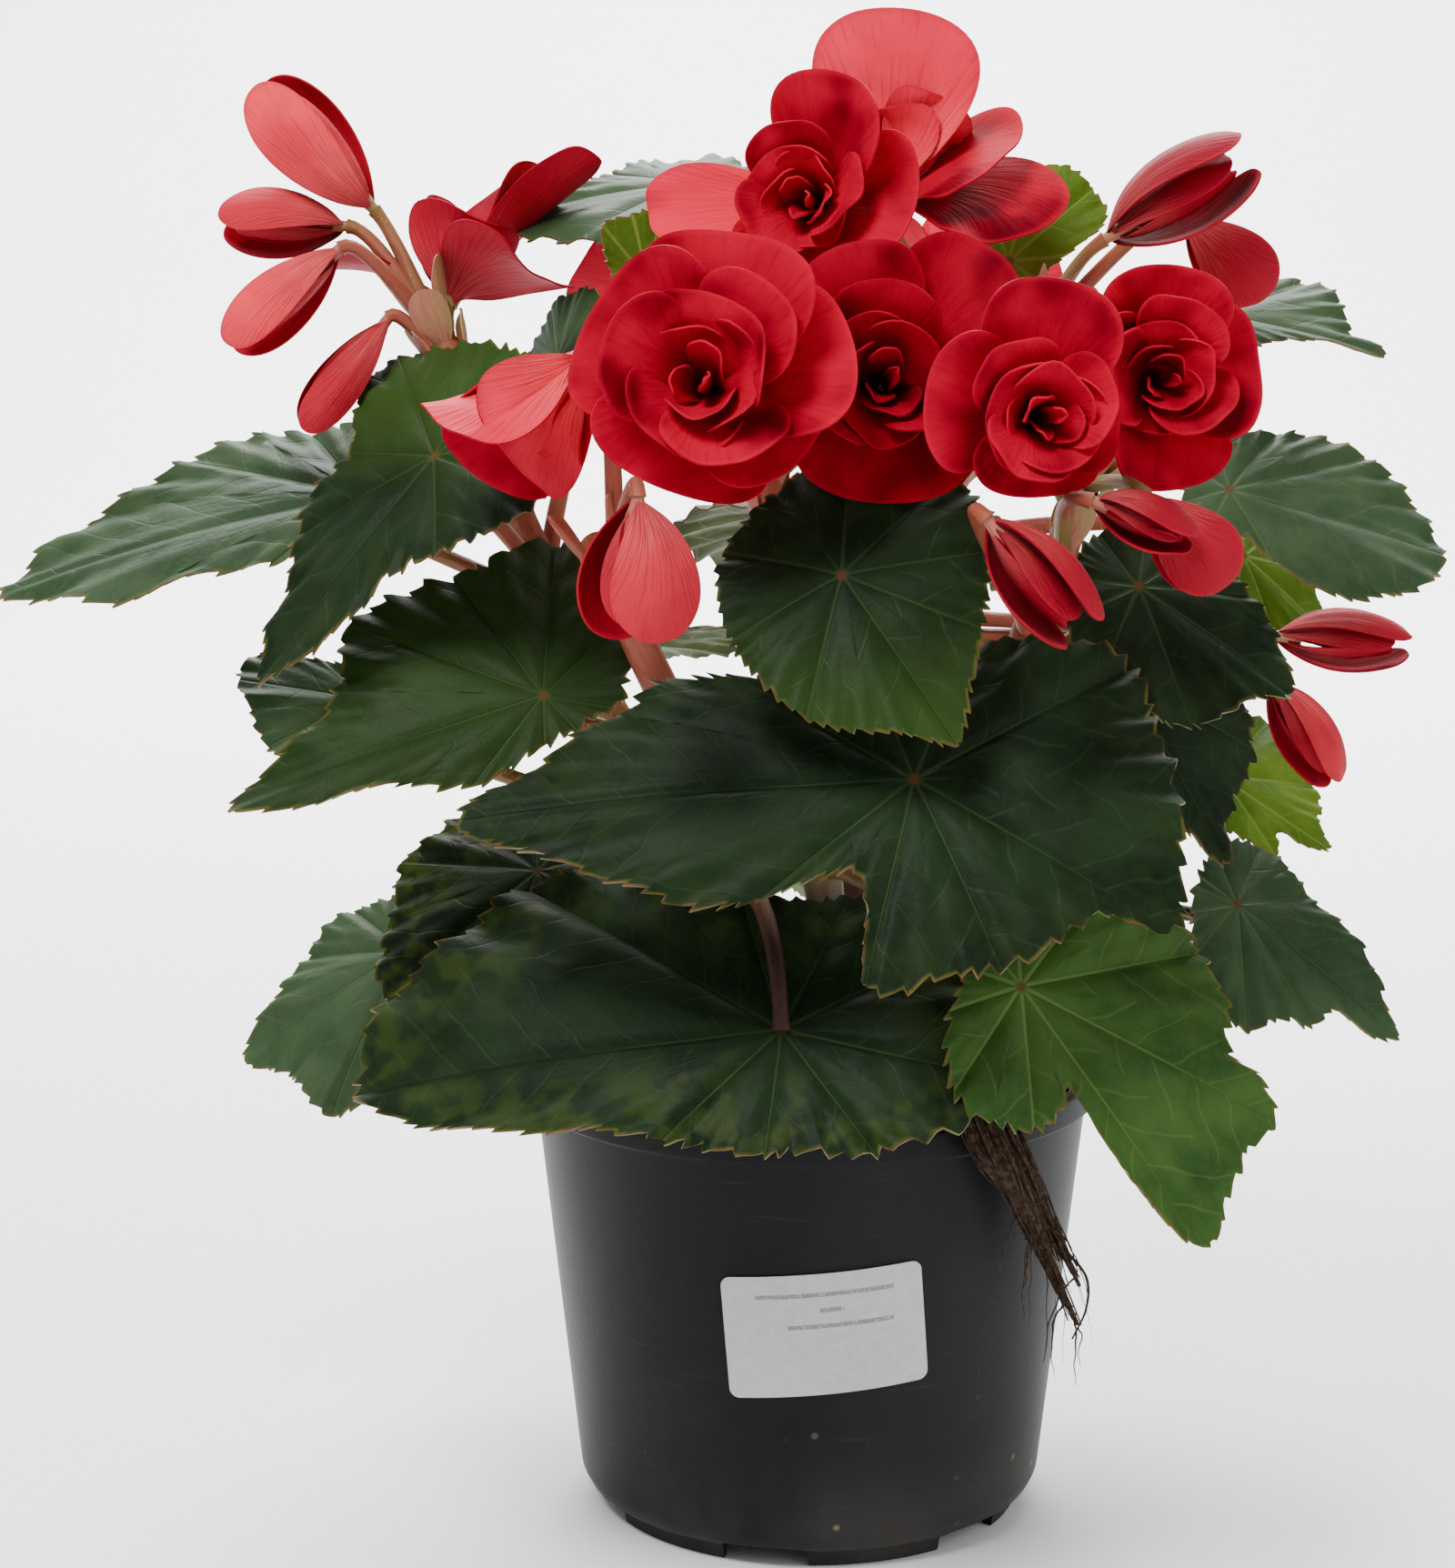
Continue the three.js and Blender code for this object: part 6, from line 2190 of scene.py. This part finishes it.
ROUND_GUARDS = [(20, 1.0, 1.5, 100), (110, 1.08, 1.5, 96), (200, 1.0, 1.5, 100), (290, 1.02, 1.5, 104)]

BLOOMS = [
    Bloom(
        "bloom_large", "stem_centre", 0.9, (-23, -94, 263), (-0.05, -0.92, 0.3), 29, 1, 20,
        [(10, 1.06, 1.5, 92), (78, 1.08, 1.7, 86), (150, 0.96, 1.7, 92), (250, 0.8, 1.7, 100),
         (318, 0.86, 1.3, 94)],
    ),
    Bloom(
        "bloom_middle", "stem_centre", 0.88, (12, -76, 262), (0.05, -0.85, 0.3), 26, 0.9, 60,
        [(46, 1.4, 1.4, 84), (104, 1.15, 1.3, 86), (190, 0.9, 1.3, 96), (266, 0.98, 1.9, 100)],
        # painted shade: this bloom lies in the shade of bloom_large
        age=0.5,
    ),
    Bloom(
        "bloom_right_front", "stem_right", 0.95, (41, -94, 256), (0.12, -0.92, 0.15), 22, 0.85, 100,
        [(0, 0.82, 1.6, 84), (82, 1.3, 1.7, 78), (174, 1.06, 1.7, 90), (270, 0.76, 1.6, 96)],
    ),
    Bloom(
        "bloom_right", "stem_right", 0.98, (68, -71, 262), (0.2, -0.95, 0.15), 22, 0.85, 40,
        [(0, 1.02, 1.75, 84), (88, 1.08, 1.6, 80), (176, 0.8, 1.4, 80), (276, 1.1, 1.7, 96)],
    ),
    Bloom(
        "bloom_top", "stem_centre", 0.98, (-3, -50, 297), (-0.3, -0.9, 0.25), 22, 0.8, 80,
        [(354, 1.2, 1.9, 84), (72, 1.3, 1.7, 76), (184, 1.66, 1, 108, 1.3, 0.2, 1.48),
         (264, 0.72, 1.7, 96)],
    ),
    Bloom(
        "bloom_top_back", "stem_back", 0.94, (17, -4, 306), (0.12, 0.3, 0.9), 26, 0.8, 10,
        [(88, 1.58, 2.2, 26, 1.8), (166, 1.1, 1.3, 100, 1.4, -1.1, -0.45),
         (176, 1.36, 1.2, 138, 1.4, -1.1, -0.45)],
    ),
    Bloom(
        "bloom_left_opening", "stem_front", 0.95, (-55, -75, 256), (-0.62, -0.3, -0.72), 27, 0.5, 30,
        [(6, 1.08, 1.5, 24, 1.3), (84, 1.3, 1.3, 38), (190, 1.2, 1.5, 30)],
    ),
    Bloom(
        "bloom_left_back", "stem_left", 0.97, (-80, 12, 284), (0.1, 0.33, 0.94), 26, 0.55, 70,
        [(22, 1.35, 1.5, 116), (150, 1.2, 1.6, 116), (192, 1.8, 1, 52), (236, 1.5, 1.5, 34)],
        # painted shade: the front guards of this bloom lie in shade
        age=0.6,
    ),
    Bloom(
        "bloom_back_left", "stem_left", 0.8, (-34, 56, 276), (-0.35, 0.85, 0.4), 25, 0.95, 50,
        ROUND_GUARDS,
    ),
    Bloom(
        "bloom_back_right", "stem_back", 0.97, (38, 56, 278), (0.4, 0.8, 0.45), 24, 0.9, 15, ROUND_GUARDS,
    ),
]

BUDS = [
    Bud("bud_left_tall", "stem_left", 1, (-97, 3, 294), (-122, 3, 321), (-0.1, -1, -0.25), 19, 4, 0.85),
    Bud("bud_left_side", "stem_left", 1, (-103, 2, 290), (-131, 4, 291), (0, -0.8, 0.6), 14, 3, 0.3),
    Bud(
        "bud_left_front", "stem_left", 1, (-103, -12, 285), (-127, -14, 264), (-0.3, -1, 0.1), 14, 3,
        0.85,
    ),
    Bud("bud_left_low", "stem_left", 0.94, (-93, -8, 270), (-112, -10, 246), (0.2, -1, 0), 12, 3, 0.3),
    Bud("bud_front", "stem_front", 1, (-36, -110, 240), (-36, -112, 212), (0.55, -0.83, 0), 25, 10, 0.35),
    Bud(
        "bud_right_front", "stem_right", 0.8, (31, -106, 235.5), (50, -108, 213.5), (0.75, -0.3, 0.6), 16,
        5, 0.08,
    ),
    Bud(
        "bud_right_side", "stem_right", 0.9, (52, -98, 238.5), (72, -98, 231), (0.4, -0.4, 0.8), 13, 0, 0,
    ),
    Bud("bud_right_round", "stem_right", 1, (64, -86, 238), (80, -86, 221), (0.1, -1, 0), 20, 4, 0.05),
    Bud("bud_far_right", "stem_back", 0.62, (102, -10, 201), (132, -11, 199), (0, -0.35, 1), 13, 0, 0.25),
    Bud(
        "bud_far_right_low", "stem_back", 0.6, (102, -5, 190), (117, -6, 167), (0.6, -0.7, 0.3), 12, 0,
        0.3,
    ),
    Bud(
        "bud_high_right", "stem_back", 1, (61, -30, 288), (91, -32, 306), (-0.45, -0.35, 0.8), 17, 4,
        -0.05,
    ),
    Bud("bud_high_far", "stem_back", 1, (80, -12, 291), (98, -13, 275), (0.1, -1, 0), 19, 6, 0.1),
    Bud("bud_back", "stem_back", 0.9, (2, 54, 262), (2, 70, 244), (0, 1, 0.6), 16, 4, 0.3),
]

STEMS = [
    Stem(
        "stem_left",
        [(-13, -3, 80), (-24, -4, 130), (-48, -6, 190), (-70, -6, 238), (-83, -4, 269)],
        (4.6, 3.4),
    ),
    Stem(
        "stem_front",
        [(-5, -14, 80), (-10, -34, 130), (-24, -52, 176), (-36, -62, 204), (-44, -66, 223)],
        (5.2, 3.6),
    ),
    Stem(
        "stem_centre",
        [(5, -8, 80), (4, -30, 132), (-4, -44, 182), (-10, -46, 224), (-8, -40, 262)],
        (5, 3.2),
    ),
    Stem(
        "stem_right",
        [(14, -3, 80), (24, -24, 132), (36, -44, 180), (46, -54, 214), (56, -52, 240)],
        (4.8, 3.2),
    ),
    Stem("stem_back", [(2, 12, 80), (10, 24, 132), (20, 26, 190), (34, 18, 240), (50, 4, 268)], (4.8, 3)),
]


def main() -> None:
    """Builds the plant, its pot and the studio."""
    logging.basicConfig(level=logging.INFO, format="%(name)s: %(message)s")
    leaf_skins = {tone: finish.skins() for tone, finish in LEAF_FINISHES.items()}
    for leaf in LEAVES:
        leaf.build(leaf_skins[leaf.tone])
    green = BRACT_FINISH.skin()
    petal_skins = [*PETAL_FINISH.skins(), green]
    for bloom in BLOOMS:
        bloom.build(petal_skins)
    bud_skins = [*BUD_FINISH.skins(), green]
    for bud in BUDS:
        bud.build(bud_skins)
    stem_skins = [green, green, green, STEM_FINISH.skin()]
    for stem in STEMS:
        stem.build([*LEAVES, *BLOOMS, *BUDS], stem_skins)
    pot = Pot()
    pot.build(PotFinish().skin())
    Label(pot).build(LabelFinish().skin())
    Soil(pot).build(SOIL_FINISH.skin())
    DeadRoots(pot).build(ROOT_FINISH.skin())
    Studio().build()
    visual_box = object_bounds()
    [[list(corner) for corner in box] for box in (cad_box, visual_box)]


if __name__ == "__main__":
    main()
